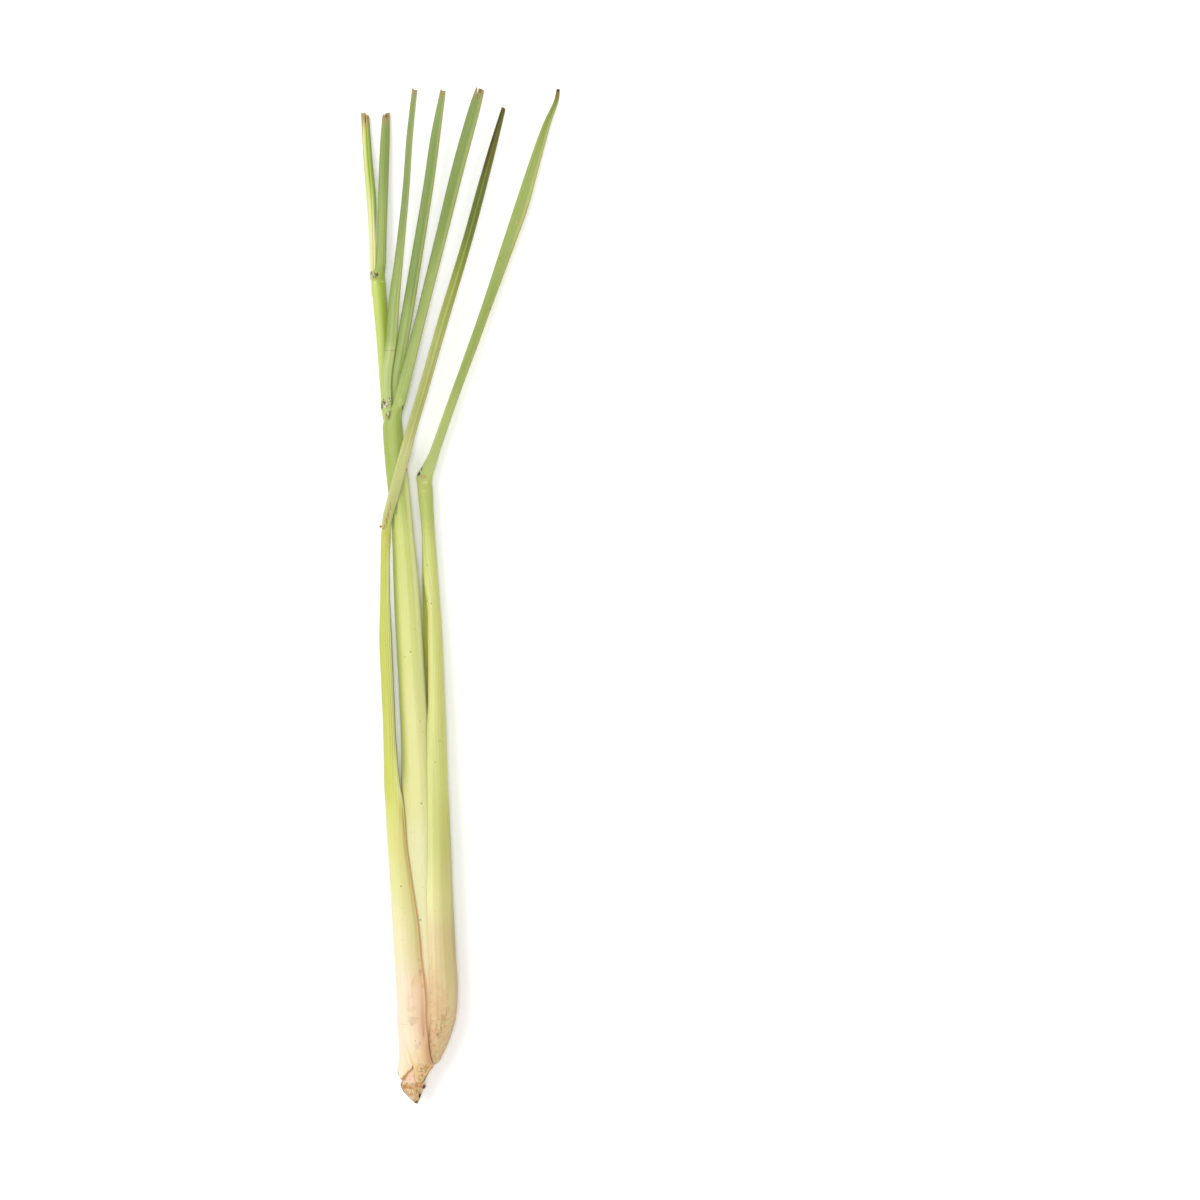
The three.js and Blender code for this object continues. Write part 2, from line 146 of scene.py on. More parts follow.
def ribs(along, share, count, seed):
    """Lengthwise ribs, -1 to 1: a cosine round the leaf, uneven in height, that drifts a little."""
    drift = RIB_DRIFT * soft_noise(share * 5, along / DRIFT_LENGTH, seed)
    uneven = soft_noise(share * count / 2, along / RIB_LENGTH, seed + 1)
    height = 1 - RIB_UNEVENNESS + RIB_UNEVENNESS * uneven
    return height * np.cos(2 * np.pi * (count * share + drift))


print("halfway value of a two-station track:", float(track([[0, 0], [1, 2]])(np.array(0.5))[0]))

# %% [markdown]
# ## Cross-sections
#
# Cut across anywhere, the stalk shows only three shapes: a solid rod, a thin wall curled round a rod, and a
# thin band. Each is a function of the distance along and of a share from 0 to 1 that walks round the outer
# face, from one margin to the other. The inner face is walked the same way, so both always match. A real
# sheath is a wall thinning to a papery margin, which is why the wall gets thinner near both margins and the
# outer leaf settles onto the one below instead of standing off it.

# %% Rods, bands and curled walls
MARGIN_THICKNESS = 0.38  # a margin's thickness, as a share of the wall's
MARGIN_SHARE = 0.07  # how far in from the margin the wall is still thinner


def ellipse_point(ellipse, degrees, margin):
    """Middle + (half size + margin) * (cos, sin) of the angle."""
    middle_x, middle_z, half_width, half_height = ellipse
    angle = np.radians(degrees)
    x = middle_x + (half_width + margin) * np.cos(angle)
    return x, middle_z + (half_height + margin) * np.sin(angle)


def ellipse_height(ellipse, x, clearance, above):
    """Height of the grown ellipse's upper or lower edge over x, and out of the way where it has none."""
    middle_x, middle_z, half_width, half_height = ellipse
    side = np.where(above, 1, -1)
    share = (x - middle_x) / (half_width + clearance)
    reach = (half_height + clearance) * np.sqrt(np.clip(1 - share**2, 0, 1))
    return np.where(np.abs(share) < 1, middle_z + side * reach, -side * np.inf)


def edge_thinning(share):
    """1 in the middle of a leaf, MARGIN_THICKNESS at both margins."""
    from_margin = np.minimum(share, 1 - share)
    return MARGIN_THICKNESS + (1 - MARGIN_THICKNESS) * smooth(from_margin, 0, MARGIN_SHARE)


def rod_section(rows, start_angle, relief):
    """A point of the ellipse: the outer half turns one way from the start angle, the inner the other."""
    rod = track(rows)

    def section(along, share, inner):
        count = share.shape[1]
        turn = 180 * (0.5 + share * (count - 1)) / count
        round_share = turn / 360
        bump = relief(along, 1 - round_share if inner else round_share)
        return ellipse_point(rod(along), start_angle + (-turn if inner else turn), bump)

    return section


def blade_section(rows, mirrored, relief):
    """x = middle + half width * across. z = middle - droop * across^2, plus or minus half the blade."""
    blade = track(rows)

    def section(along, share, inner):
        x, z, half_width, droop = blade(along)
        across = (-1 if mirrored else 1) * (1 - 2 * share)
        face = BLADE / 2 * edge_thinning(share) * (-1 if inner else 1)
        return x + half_width * across, z - droop * across**2 + face + relief(along, share)

    return section


def sheath_section(rows, covered_height, relief, thickness=WALL):
    """A point of the ellipse between two angles, pushed clear of what the sheath is wrapped over."""
    sheath = track(rows)

    def section(along, share, inner):
        *ellipse, first, last = sheath(along)
        degrees = lerp(first, last, share)
        above = np.sin(np.radians(degrees)) >= 0
        wall = thickness * edge_thinning(share)
        margin = -thickness + (0 if inner else wall)
        point_x, point_z = ellipse_point(ellipse, degrees, margin)
        covered = covered_height(along, point_x, GAP + (0 if inner else wall), above)
        height = np.where(above, np.maximum(point_z, covered), np.minimum(point_z, covered))
        bump = 0 if inner else relief(along, share)
        x = point_x + bump * np.cos(np.radians(degrees))
        z = height + bump * np.sin(np.radians(degrees))
        return x, np.maximum(z, WALL) if inner else z

    return section


def join_sections(first, second, start, end):
    """The first section turns into the second between the two ends of the collar."""

    def section(along, share, inner):
        mix = smooth(along, start, end)
        lower, upper = first(along, share, inner), second(along, share, inner)
        return [lerp(a, b, mix) for a, b in zip(lower, upper)]

    return section


print("a margin is", round(WALL * MARGIN_THICKNESS, 2), "mm thick")

# %% [markdown]
# ## From rings to a closed skin
#
# The rings of one leaf are stacked in an array of rings by points. The outer face is walked out and the
# inner face back, so the ring closes on itself and both margins are faces too. The two ends are closed
# like a ladder, from the outer point to the inner one. Each vertex also stores how far along, how far round
# and how far across the leaf it lies, and whether it is on the inner face: the finishes read those to run
# veins along the leaf.

# %% Places of the rings
SHEATH_STEP = 1.3  # from one ring to the next on a sheath or a rod
COLLAR_STEP = 0.8
BLADE_STEP = 2
QUILL_STEP = 1.5
CUT_STEP = 0.5  # near a cut end
TORN_STEP = 0.4  # near a torn rim
STUB_STEP = 0.3
CUT_DEPTH = 4  # how far from a cut end its outline has levelled out


def steps(start, end, step):
    """Evenly spaced places from start up to, but not including, end."""
    return np.linspace(start, end, max(2, round((end - start) / step)) + 1)[:-1]


def rings(*stretches, end):
    """Places of the rings: each (start, step) holds up to the next start, and the last one to the end."""
    ends = [start for start, step in stretches[1:]] + [end]
    parts = [steps(start, stop, step) for (start, step), stop in zip(stretches, ends)]
    return np.concatenate([*parts, [end]])


def cut_end(along, columns, outline):
    """Pulls the last rings to the outline of a cut: pairs of share round the leaf and millimetres on."""
    end = along[-1]
    reach = np.interp(np.linspace(0, 1, columns), *np.transpose(outline))
    return along[:, None] + reach * smooth(along[:, None], end - CUT_DEPTH, end)


print("rings stand", SHEATH_STEP, "mm apart on a sheath and", BLADE_STEP, "mm on a blade")

# %% Build a mesh from rings
SHARPEST_SMOOTH_EDGE = math.radians(55)
SIDES = [corner[0] / MM for corner in cad_box]  # no skin reaches further left or right than the solids


def quads(first, second, third, fourth):
    """Stacks four equal arrays of vertex numbers into rows of four."""
    return np.stack([first, second, third, fourth], -1).reshape(-1, 4)


def closed_faces(ring_count, points):
    """Side faces join each ring to the next. End faces join point i to the one facing it."""
    ring = np.arange(ring_count - 1)[:, None] * points
    point = np.arange(points)[None, :]
    after = (point + 1) % points
    sides = quads(ring + point, ring + points + point, ring + points + after, ring + after)
    step = np.arange(points // 2 - 1)
    facing = points - 1 - step
    last = (ring_count - 1) * points
    start_cap = quads(step, step + 1, facing - 1, facing)
    end_cap = quads(last + step, last + facing, last + facing - 1, last + step + 1)
    return np.vstack([sides, start_cap, end_cap])


def ring_area(x, z):
    """Shoelace sum: half of x * next z - next x * z."""
    return 0.5 * np.sum(x * np.roll(z, -1) - np.roll(x, -1) * z)


def new_mesh(name, points, faces, values):
    """A smooth-shaded mesh object from arrays, with one stored float a vertex for each name in values."""
    mesh = bpy.data.meshes.new(name)
    mesh.from_pydata(points, [], faces.tolist())
    for label, numbers in values.items():
        stored = mesh.attributes.new(label, "FLOAT", "POINT")
        stored.data.foreach_set("value", np.ascontiguousarray(numbers, np.float32).ravel())
    mesh.shade_smooth()
    mesh.set_sharp_from_angle(angle=SHARPEST_SMOOTH_EDGE)
    piece = bpy.data.objects.new(name, mesh)
    bpy.context.scene.collection.objects.link(piece)
    return piece


def sweep(name, section, along, columns, placed=None, rim=None):
    """Sweeps a section through rings at `along`; `placed` gives each point's own distance instead.

    `rim` is where the lower rim lies in each column: every point also stores how far it is from it."""
    share = np.broadcast_to(np.linspace(0, 1, columns), (len(along), columns))
    place = np.broadcast_to(along[:, None], share.shape) if placed is None else placed
    outer_x, outer_z = section(place, share, False)
    inner_x, inner_z = section(place, share, True)

    def walk(out, back):
        return np.concatenate([out, back[:, ::-1]], axis=1)

    x, z = np.clip(walk(outer_x, inner_x), *SIDES), np.maximum(walk(outer_z, inner_z), 0)
    middle = (outer_x.max(1) + outer_x.min(1))[:, None] / 2
    half = (outer_x.max(1) - outer_x.min(1))[:, None] / 2
    values = {
        "along": walk(place, place),
        "around": walk(share, share),
        "across": (x - middle) / half,
        "inside": walk(np.zeros_like(share), np.ones_like(share)),
    }
    if rim is not None:
        values["from_rim"] = values["along"] - walk(rim + 0 * share, rim + 0 * share)
    y = values["along"] - LENGTH / 2
    points = np.stack([x, y, z], -1)
    if ring_area(x[0], z[0]) < 0:
        points = points[:, ::-1]
        values = {label: numbers[:, ::-1] for label, numbers in values.items()}
    faces = closed_faces(*points.shape[:2])
    piece = new_mesh(name, points.reshape(-1, 3) * MM, faces, values)
    size = np.ptp(points, axis=(0, 1)).round(1)
    print(name, "has", len(piece.data.vertices), "vertices and measures", size, "mm")
    return piece


print("no skin reaches past", [round(side, 2) for side in SIDES], "mm")

# %% [markdown]
# ## Relief
#
# Parallel veins raise low ribs along every grass leaf, taller on the blade than on the sheath, and the bulb
# swells slowly between them. A bump map alone would leave the outline smooth, so the ribs move the mesh
# itself. One function makes the relief of each leaf from its own heights, number of ribs and seeds.

# %% Ribs and swellings of a leaf
SWELLINGS_ROUND = 6


def plain(along, share):
    """No relief at all."""
    return 0.0


def leaf_relief(collar, on_sheath, on_blade, count, seed, swelling=None):
    """Ribs whose height changes at the collar, plus swellings given as (height, length, seed) if any."""

    def relief(along, share):
        raised = lerp(on_sheath, on_blade, smooth(along, *collar)) * ribs(along, share, count, seed)
        if swelling:
            height, length, noise_seed = swelling
            raised = raised + height * soft_noise(share * SWELLINGS_ROUND, along / length, noise_seed)
        return raised

    return relief


print("swellings round a leaf:", SWELLINGS_ROUND)

# %% [markdown]
# ## The main stem
#
# The firm middle of the stalk is a rod of tightly rolled sheaths. It is widest where it is hidden in the
# bulb and narrows evenly to the first collar, where its outermost sheath ends and turns into the front
# blade. It is one body that grew as one, so it is one sweep from a rod to a band. Other leaves are wrapped
# over it, so its stations come first.

# %% Stations of the main stem
# Rods: along, x and z of the middle, half width, half height.
# Blades: along, x and z of the middle, half width, how far the edges droop.
STEM_ROD = [
    [20, -15, 9, 7.2, 5.1],
    [25, -14.2, 9.1, 8.5, 6],
    [33, -13.3, 9.2, 9.7, 6.7],
    [48, -13.3, 9.2, 10.6, 7],
    [60, -13.6, 9.2, 10.6, 7],
    [80, -14.7, 9.2, 10.5, 6.9],
    [100, -15, 9.1, 9, 6.6],
    [120, -15.9, 9, 7.3, 6.1],
    [140, -17, 8.8, 6.15, 5.7],
    [160, -18.45, 8.5, 5.45, 5.3],
    [198, -20.8, 8, 5.1, 4.8],
    [230, -23, 7.6, 4.25, 4],
    [250, -25, 7.3, 4.3, 3.7],
    [261, -26.2, 7.2, 4, 3.6],
    [276, -27, 7, 3.85, 3.5],
]
STEM_BLADE = [
    [266, -26, 9.9, 2, 0.6],
    [276, -23.8, 10.5, 2.4, 0.6],
    [285, -21.5, 11, 2.3, 0.6],
    [310, -15.15, 11.3, 2.1, 0.6],
    [340, -7.65, 11.4, 2.3, 0.6],
    [370, -0.15, 11.6, 2.5, 0.5],
    [393, 6.2, 11.6, 2.25, 0.4],
    [399, 7.9, 11.6, 1.85, 0.3],
]
STEM_COLLAR = (266, 276)
STEM_START = -20  # degrees: the side of the rod that becomes the right edge of the blade
STEM_SPLIT = [  # a slit in its cut end: share round the leaf from its right edge, and millimetres on
    [0, -0.5],
    [0.3, 0.1],
    [0.58, 0.5],
    [0.65, 0.2],
    [0.69, -2.3],
    [0.71, -2.3],
    [0.74, 0.2],
    [0.84, 0.9],
    [0.92, 0.8],
    [1, -0.4],
]
print("the stem's rod has", len(STEM_ROD), "stations and its blade", len(STEM_BLADE))

# %% Make the main stem
STEM_COLUMNS = 48
stem_along = rings((20, SHEATH_STEP), (262, COLLAR_STEP), (280, BLADE_STEP), (394, CUT_STEP), end=399)
stem_relief = leaf_relief(STEM_COLLAR, on_sheath=0.03, on_blade=0.05, count=14, seed=11)
stem_section = join_sections(
    rod_section(STEM_ROD, STEM_START, stem_relief),
    blade_section(STEM_BLADE, False, stem_relief),
    *STEM_COLLAR,
)
stem_cut = cut_end(stem_along, STEM_COLUMNS, STEM_SPLIT)
stem = sweep("stem_skin", stem_section, stem_along, STEM_COLUMNS, stem_cut)

# %% [markdown]
# ## The second leaf
#
# The second leaf hugs the right of the bulb and stands free from half way up. There its sheath is an open
# C that shows a strip of its own darker inside. The wall is draped over the stem: each point is pushed
# away until it clears the stem's ellipse, so the two nestle at every place along.

# %% Stations of the second leaf
# Sheaths: along, x and z of the middle, half width, half height, and the angles at which the wall starts
# and ends.
SECOND_SHEATH = [
    [15.5, -15.6, 9, 6.2, 4.6, 60, -60],
    [17, -15.6, 9.1, 7.8, 5.2, 72, -72],
    [18.5, -15.4, 9.1, 8.2, 5.9, 78, -78],
    [21, -14.9, 9.2, 9, 6.6, 80, -80],
    [25, -14.2, 9.2, 10, 7.1, 78, -85],
    [33, -13.2, 9.2, 11.5, 7.8, 80, -88],
    [41, -12.95, 9.2, 12, 8.1, 82, -92],
    [48, -13.3, 9.2, 12.4, 8.1, 82, -95],
    [60, -13.8, 9.2, 12.1, 8.1, 81, -98],
    [80, -14.7, 9.2, 12, 8, 80, -100],
    [100, -13.4, 9, 9.9, 7.7, 84, -102],
    [120, -12.3, 8.4, 7.85, 7.1, 92, -110],
    [140, -11.1, 8, 5.9, 6.2, 109, -120],
    [153, -10.15, 7.6, 4.45, 5.5, 130, -135],
    [167, -10.4, 7, 4.1, 4.6, 127, -150],
    [182, -11.2, 6.2, 4.2, 4, 114, -160],
    [198, -11.8, 5.6, 3.8, 3.4, 114, -165],
    [206, -12.1, 5.3, 3.5, 3, 140, -168],
    [214, -12.25, 5.2, 3.1, 2.8, 160, -170],
    [224, -12.7, 5.1, 2.75, 2.7, 165, -160],
    [232, -13.3, 5, 2.8, 2.7, 168, -90],
    [240, -13.8, 5, 3, 2.7, 170, -20],
    [248, -14, 5, 3, 2.5, 172, 0],
]
SECOND_BLADE = [
    [240, -14, 6.3, 3.1, 0.5],
    [247, -14.1, 6.1, 3.15, 0.6],
    [251.4, -12.1, 6, 2.6, 0.7],
    [255.3, -10.5, 6, 2.1, 0.8],
    [261, -8.5, 5.8, 1.95, 0.8],
    [272, -4.65, 5.6, 1.9, 0.8],
    [285, 0, 5.3, 1.85, 0.8],
    [297, 4.4, 5, 1.95, 0.8],
    [310, 9.05, 4.8, 2, 0.8],
    [340, 19.5, 3.8, 2.6, 0.8],
    [352, 23.6, 3.3, 2.8, 0.8],
    [370, 29, 2.4, 2.25, 0.8],
    [387, 34.4, 1.3, 1.5, 0.6],
    [396, 38, 0.7, 0.9, 0.4],
    [400, 38.6, 0.5, 0.6, 0.2],
]
SECOND_COLLAR = (240, 248)
print("the second leaf's sheath has", len(SECOND_SHEATH), "stations and its blade", len(SECOND_BLADE))

# %% Drape the second leaf over the stem
SECOND_COLUMNS = 92
stem_rod = track(STEM_ROD)
second_sheath = track(SECOND_SHEATH)


def stem_height(along, x, clearance, above):
    """Height of the stem's surface over x, and none below its hidden lower end."""
    height = ellipse_height(stem_rod(along), x, clearance, above)
    return np.where(along < STEM_ROD[0][0], np.where(above, -np.inf, np.inf), height)


second_along = rings((15.5, CUT_STEP), (24, SHEATH_STEP), (236, COLLAR_STEP), (254, BLADE_STEP), end=LENGTH)
second_relief = leaf_relief(
    SECOND_COLLAR, on_sheath=0.05, on_blade=0.07, count=18, seed=23, swelling=(0.06, 9, 27)
)
second_section = join_sections(
    sheath_section(SECOND_SHEATH, stem_height, second_relief),
    blade_section(SECOND_BLADE, True, second_relief),
    *SECOND_COLLAR,
)
second_leaf = sweep("second_leaf_skin", second_section, second_along, SECOND_COLUMNS)

# %% [markdown]
# ## The outer leaf
#
# The outermost sheath wraps the left of the bulb and overlaps the second leaf. Its lower rim was torn when
# the roots were cut off, so its first rings follow the torn outline and level out within a centimetre.
# Further up it is a slim channel beside the stem, and its blade crosses over to the right.

# %% Stations of the outer leaf
OUTER_SHEATH = [
    [7, -18.2, 8.6, 5.8, 5.5, 4, 300],
    [9.5, -18.2, 8.6, 6.1, 5.65, 2, 300],
    [12, -17.95, 8.6, 6.7, 5.8, 10, 302],
    [15, -16.8, 8.7, 7.65, 6.5, 20, 305],
    [17, -16.2, 8.8, 7.8, 6.9, 40, 305],
    [21, -15.8, 8.9, 8.3, 7.6, 56, 303],
    [25, -15.4, 9, 8.8, 8, 65, 300],
    [33, -14.8, 8.7, 9.95, 8.7, 78, 298],
    [41, -14.6, 8.5, 10.3, 8.9, 80, 296],
    [56, -15.4, 8.5, 10.45, 8.9, 85, 295],
    [72, -16.9, 8.5, 9.8, 8.8, 85, 292],
    [88, -19.3, 8.5, 8.3, 8.1, 85, 290],
    [104, -22.1, 8.4, 6.6, 6.8, 78, 290],
    [119, -24.8, 8.2, 4.7, 5.4, 52, 290],
    [127, -26.2, 8, 3.7, 4.3, 35, 292],
    [143, -27.5, 7.2, 2.7, 3.2, 5, 300],
    [159, -28.2, 6.8, 2.55, 2.9, 0, 300],
    [182, -29.2, 6.8, 2.55, 2.6, 0, 300],
    [198, -29.4, 7.4, 2.05, 2.3, 0, 300],
    [208, -29.35, 8.1, 1.95, 2.2, 0, 295],
    [216, -29.3, 8.8, 1.9, 2.1, 0, 240],
    [222, -29.1, 9.4, 1.9, 2, 0, 195],
    [231, -28.9, 10.4, 1.9, 1.9, 0, 182],
]
OUTER_BLADE = [
    [222, -29.1, 10.6, 1.9, 0.4],
    [231, -28.3, 12, 1.95, 0.5],
    [238, -26.4, 12.8, 2.1, 0.6],
    [245, -24.5, 13.1, 2.25, 0.6],
    [253, -22.3, 13.1, 2.3, 0.6],
    [261, -20.2, 12.8, 2.2, 0.6],
    [280, -14.6, 12, 2.1, 0.5],
    [310, -6, 11, 2.15, 0.5],
    [340, 3, 10, 2, 0.5],
    [361, 8.7, 9.2, 1.85, 0.5],
    [380, 13.9, 8.6, 1.4, 0.4],
    [392, 17.2, 8.2, 0.85, 0.3],
]
OUTER_RIM = [  # share of the way round from the top margin, and along
    [0, 14.5],
    [0.035, 12.8],
    [0.066, 11.4],
    [0.12, 9.2],
    [0.16, 8],
    [0.2, 7.5],
    [0.25, 8.1],
    [0.265, 8.6],
    [0.28, 14],
    [0.287, 14.8],
    [0.295, 14.4],
    [0.309, 13.5],
    [0.351, 12.1],
    [0.406, 10.7],
    [0.492, 9.4],
    [0.53, 10.2],
    [0.56, 11.4],
    [0.62, 11.6],
    [0.8, 9.5],
    [1, 13],
]
OUTER_COLLAR = (222, 231)
OUTER_CUT = [[0, -0.4], [0.5, 0.1], [1, 0.4]]
print("the outer leaf's sheath has", len(OUTER_SHEATH), "stations and its torn rim", len(OUTER_RIM))

# %% [markdown]
# The outer leaf lies on the stem at the left and on the second leaf at the right, so its wall climbs a
# short ramp where the second leaf's margin is. The rim is a track of its own stations with noise for the
# frayed fibres, and the wall thins towards it.

# %% Wrap the outer leaf round both
RIM_FADES_AT = 18  # above this the rings are level again
SHEATHS_PART = 126  # above this the outer leaf no longer lies over the second leaf
MARGIN_RAMP = 3.5  # how far from the second leaf's margin the outer leaf starts to rise over it
RIM_THINNING = 0.6  # share of its wall that the leaf has lost at the torn rim
RIM_THINS_OVER = 1.6  # millimetres from the rim
FRAYING = 0.22  # how far the torn fibres reach up or down


def wrapped_height(along, x, clearance, above):
    """Height of the stem with the second leaf on it, ramping up at the second leaf's margins."""
    bare = stem_height(along, x, clearance, above)
    *ellipse, first, last = second_sheath(along)
    edge_x, _ = ellipse_point(ellipse, np.where(above, first, last), 0)
    own = ellipse_height(ellipse, x, clearance, above)
    on_stem = stem_height(along, x, clearance + GAP + WALL, above)
    covered = np.where(above, np.maximum(own, on_stem), np.minimum(own, on_stem))
    mix = smooth(x, edge_x - MARGIN_RAMP, edge_x - GAP)
    with np.errstate(invalid="ignore"):
        both = lerp(bare, covered, mix)
    both = np.where(np.isfinite(bare), both, covered)
    wrapped = np.where(np.isfinite(covered) & (mix > 0), both, bare)
    apart = (along > SHEATHS_PART) | (along < SECOND_SHEATH[0][0] - 1)
    return np.where(apart, bare, wrapped)


def torn_rim(share):
    """Where the torn rim lies: its stations, plus noise for the frayed fibres."""
    return track(OUTER_RIM)(share)[0] + FRAYING * soft_noise(share * 45, share * 3, 41)


outer_ribs = leaf_relief(
    OUTER_COLLAR, on_sheath=0.05, on_blade=0.12, count=16, seed=31, swelling=(0.08, 8, 37)
)


def outer_relief(along, share):
    """The ribs and swellings, minus what the wall loses towards the torn rim."""
    lost = RIM_THINNING * WALL * edge_thinning(share) * smooth(along - torn_rim(share), RIM_THINS_OVER, 0)
    return outer_ribs(along, share) - lost


print("the torn rim starts", float(torn_rim(np.array([0.0]))[0].round(1)), "mm from the root's tip")

# %% Make the outer leaf
OUTER_COLUMNS = 140
outer_base = rings((OUTER_SHEATH[0][0], TORN_STEP), end=RIM_FADES_AT)
outer_upper = rings((18.6, SHEATH_STEP), (218, COLLAR_STEP), (236, BLADE_STEP), (390, CUT_STEP), end=392)
outer_along = np.concatenate([outer_base, outer_upper])
torn = torn_rim(np.linspace(0, 1, OUTER_COLUMNS))[None, :]
outer_placed = cut_end(outer_along, OUTER_COLUMNS, OUTER_CUT)
linear_rise = ((outer_base - outer_base[0]) / (RIM_FADES_AT - outer_base[0]))[:, None]
outer_placed[: len(outer_base)] = lerp(torn, RIM_FADES_AT, linear_rise)
outer_section = join_sections(
    sheath_section(OUTER_SHEATH, wrapped_height, outer_relief),
    blade_section(OUTER_BLADE, False, outer_relief),
    *OUTER_COLLAR,
)
outer_leaf = sweep("outer_leaf_skin", outer_section, outer_along, OUTER_COLUMNS, outer_placed, torn)

# %% [markdown]
# ## The cut root
#
# Below the leaves is a short woody stub, cut off obliquely. Its surface is rough: fibres run along it and
# torn leaf bases leave ridges round it. Noise on a fine grid gives both, with more columns than the smooth
# leaves need.

# %% Make the root stub
STUB_ROD = [
    [0, -17.1, 8.2, 0.5, 0.9],
    [2, -17.8, 8.3, 2.1, 2.4],
    [4.3, -18.4, 8.4, 3.5, 3.6],
    [6.7, -18.5, 8.5, 4.85, 4.2],
    [9.5, -18.3, 8.6, 4.6, 4],
    [12, -18.1, 8.6, 5.1, 4.5],
    [14, -17.5, 8.7, 5.6, 4.9],
    [15.6, -17, 8.7, 4, 3.7],
    [17.3, -16.7, 8.7, 3.9, 3.6],
]
STUB_COLUMNS = 64
LUMP_HEIGHT = 0.16
FIBRE_HEIGHT = 0.09
RIDGE_HEIGHT = 0.1
RIDGE_SPACING = 2.3
TIP_LENGTH = 3  # the relief fades out over this length of tip


def stub_relief(along, share):
    """Coarse lumps, fine fibres stretched lengthwise and a few ridges round the stub."""
    lumps = LUMP_HEIGHT * soft_noise(share * 14, along / 1.6, 51)
    fibres = FIBRE_HEIGHT * soft_noise(share * 44, along / 2.4, 53)
    wander = 0.3 * soft_noise(share * 8, along / 3, 57)
    ridges = RIDGE_HEIGHT * np.cos(2 * np.pi * (along / RIDGE_SPACING + wander))
    return (lumps + fibres + ridges) * smooth(along, 0, TIP_LENGTH)


stub_along = rings((0, STUB_STEP), end=STUB_ROD[-1][0])
stub = sweep("root_stub_skin", rod_section(STUB_ROD, 0, stub_relief), stub_along, STUB_COLUMNS)

# %% [markdown]
# ## The two blades behind
#
# Two more blades stand in the first collar, behind the front one. They are plain bands with a shallow
# channel and a rough slanting cut, so one function makes both from their own stations and cut.

# %% Make the middle and left blades
MIDDLE_BLADE = [
    [258, -25.2, 8.4, 1.3, 0.3],
    [275, -25.6, 8.1, 1.65, 0.4],
    [285, -25.2, 8.8, 2.1, 0.5],
    [300, -22.6, 9, 2.3, 0.5],
    [316, -19.9, 9, 2.3, 0.5],
    [332, -17.2, 9, 2.2, 0.5],
    [361, -12.45, 9.2, 2, 0.5],
    [381, -9.6, 9.4, 1.85, 0.4],
    [399, -6.6, 9.6, 1.1, 0.2],
]
LEFT_BLADE = [
    [258, -27.9, 8.9, 0.9, 0.2],
    [275, -28.6, 9.5, 1.7, 0.3],
    [285, -29, 9.9, 2.05, 0.4],
    [300, -27.1, 9.8, 2.2, 0.5],
    [316, -25.95, 9.3, 2.15, 0.4],
    [332, -24.1, 8.6, 1.7, 0.4],
    [361, -21.2, 8.2, 1.35, 0.4],
    [381, -19.8, 8, 1.25, 0.3],
    [399.6, -17.8, 8, 1.05, 0.2],
]
MIDDLE_CUT = [[0, -0.5], [0.45, -0.3], [0.6, -0.3], [0.85, 0.1], [1, 0.5]]
LEFT_CUT = [[0, -0.5], [0.5, -0.5], [0.7, -0.3], [0.85, 0.3], [1, 0.4]]
BLADE_COLUMNS = 26
BLADE_RIBS = 6
BLADE_RIB_HEIGHT = 0.05


def blade_relief(along, share):
    """Fine parallel ribs."""
    return BLADE_RIB_HEIGHT * ribs(along, share, BLADE_RIBS, 61)


def free_blade(name, rows, cut):
    """A blade on its own, with the outline of its cut end."""
    start, end = rows[0][0], rows[-1][0]
    along = rings((start, BLADE_STEP), (end - CUT_DEPTH, CUT_STEP), end=end)
    placed = cut_end(along, BLADE_COLUMNS, cut)
    return sweep(name, blade_section(rows, False, blade_relief), along, BLADE_COLUMNS, placed)


middle_leaf = free_blade("middle_leaf_skin", MIDDLE_BLADE, MIDDLE_CUT)
left_leaf = free_blade("left_leaf_skin", LEFT_BLADE, LEFT_CUT)

# %% [markdown]
# ## The heart
#
# The youngest growth comes out on the left: a bright round stem with a blade of its own, and in its collar
# the last leaf, still rolled like a quill with the seam along its top. The seam is a groove pressed into a
# rod, because the turns inside it can't be seen.

# %% Make the heart stem and the heart leaf
HEART_ROD = [
    [255, -27.2, 6, 1.6, 1.3],
    [267, -27.9, 5.9, 2.1, 1.6],
    [273, -28.7, 5.9, 2.3, 1.8],
    [281, -29.2, 5.8, 2.3, 2],
    [296, -30.1, 5.6, 2.5, 2.3],
    [322, -32.1, 5, 2.8, 2.4],
    [332, -32.8, 4.7, 2.8, 2.3],
]
HEART_BLADE = [
    [322, -31.5, 5.6, 2.2, 0.5],
    [332, -31.2, 5.4, 1.9, 0.6],
    [361, -30.4, 3.6, 1.9, 0.6],
    [381, -29.7, 2.2, 1.8, 0.5],
    [390, -29.3, 1.4, 1.4, 0.4],
]
HEART_LEAF_ROD = [
    [318, -34.2, 4.4, 0.9, 0.9],
    [332, -34.3, 4.2, 1.3, 1.1],
    [345, -34.65, 3.7, 1.6, 1.1],
    [356, -35.1, 3.2, 1.9, 1.1],
    [371, -36.4, 2.2, 1.8, 1.1],
    [390, -37.7, 1, 1.55, 1],
]
HEART_COLLAR = (322, 332)
HEART_START = -40  # degrees: the side of the rod that becomes the right edge of the blade
HEART_CUT = [[0, 0.7], [0.3, 0.6], [0.66, 0.3], [0.74, -0.3], [0.82, -0.5], [0.86, 0.1], [1, 0]]
HEART_COLUMNS = 32
QUILL_CUT = [[0, -0.7], [0.2, -0.4], [0.36, -0.3], [0.42, -0.7], [0.47, 0.7], [0.7, 0.5], [1, 0.8]]
QUILL_COLUMNS = 40
QUILL_SEAM = 0.22  # share round the rolled leaf where its outer edge lies
QUILL_DEPTH = 0.28
QUILL_SEAM_WIDTH = 0.03


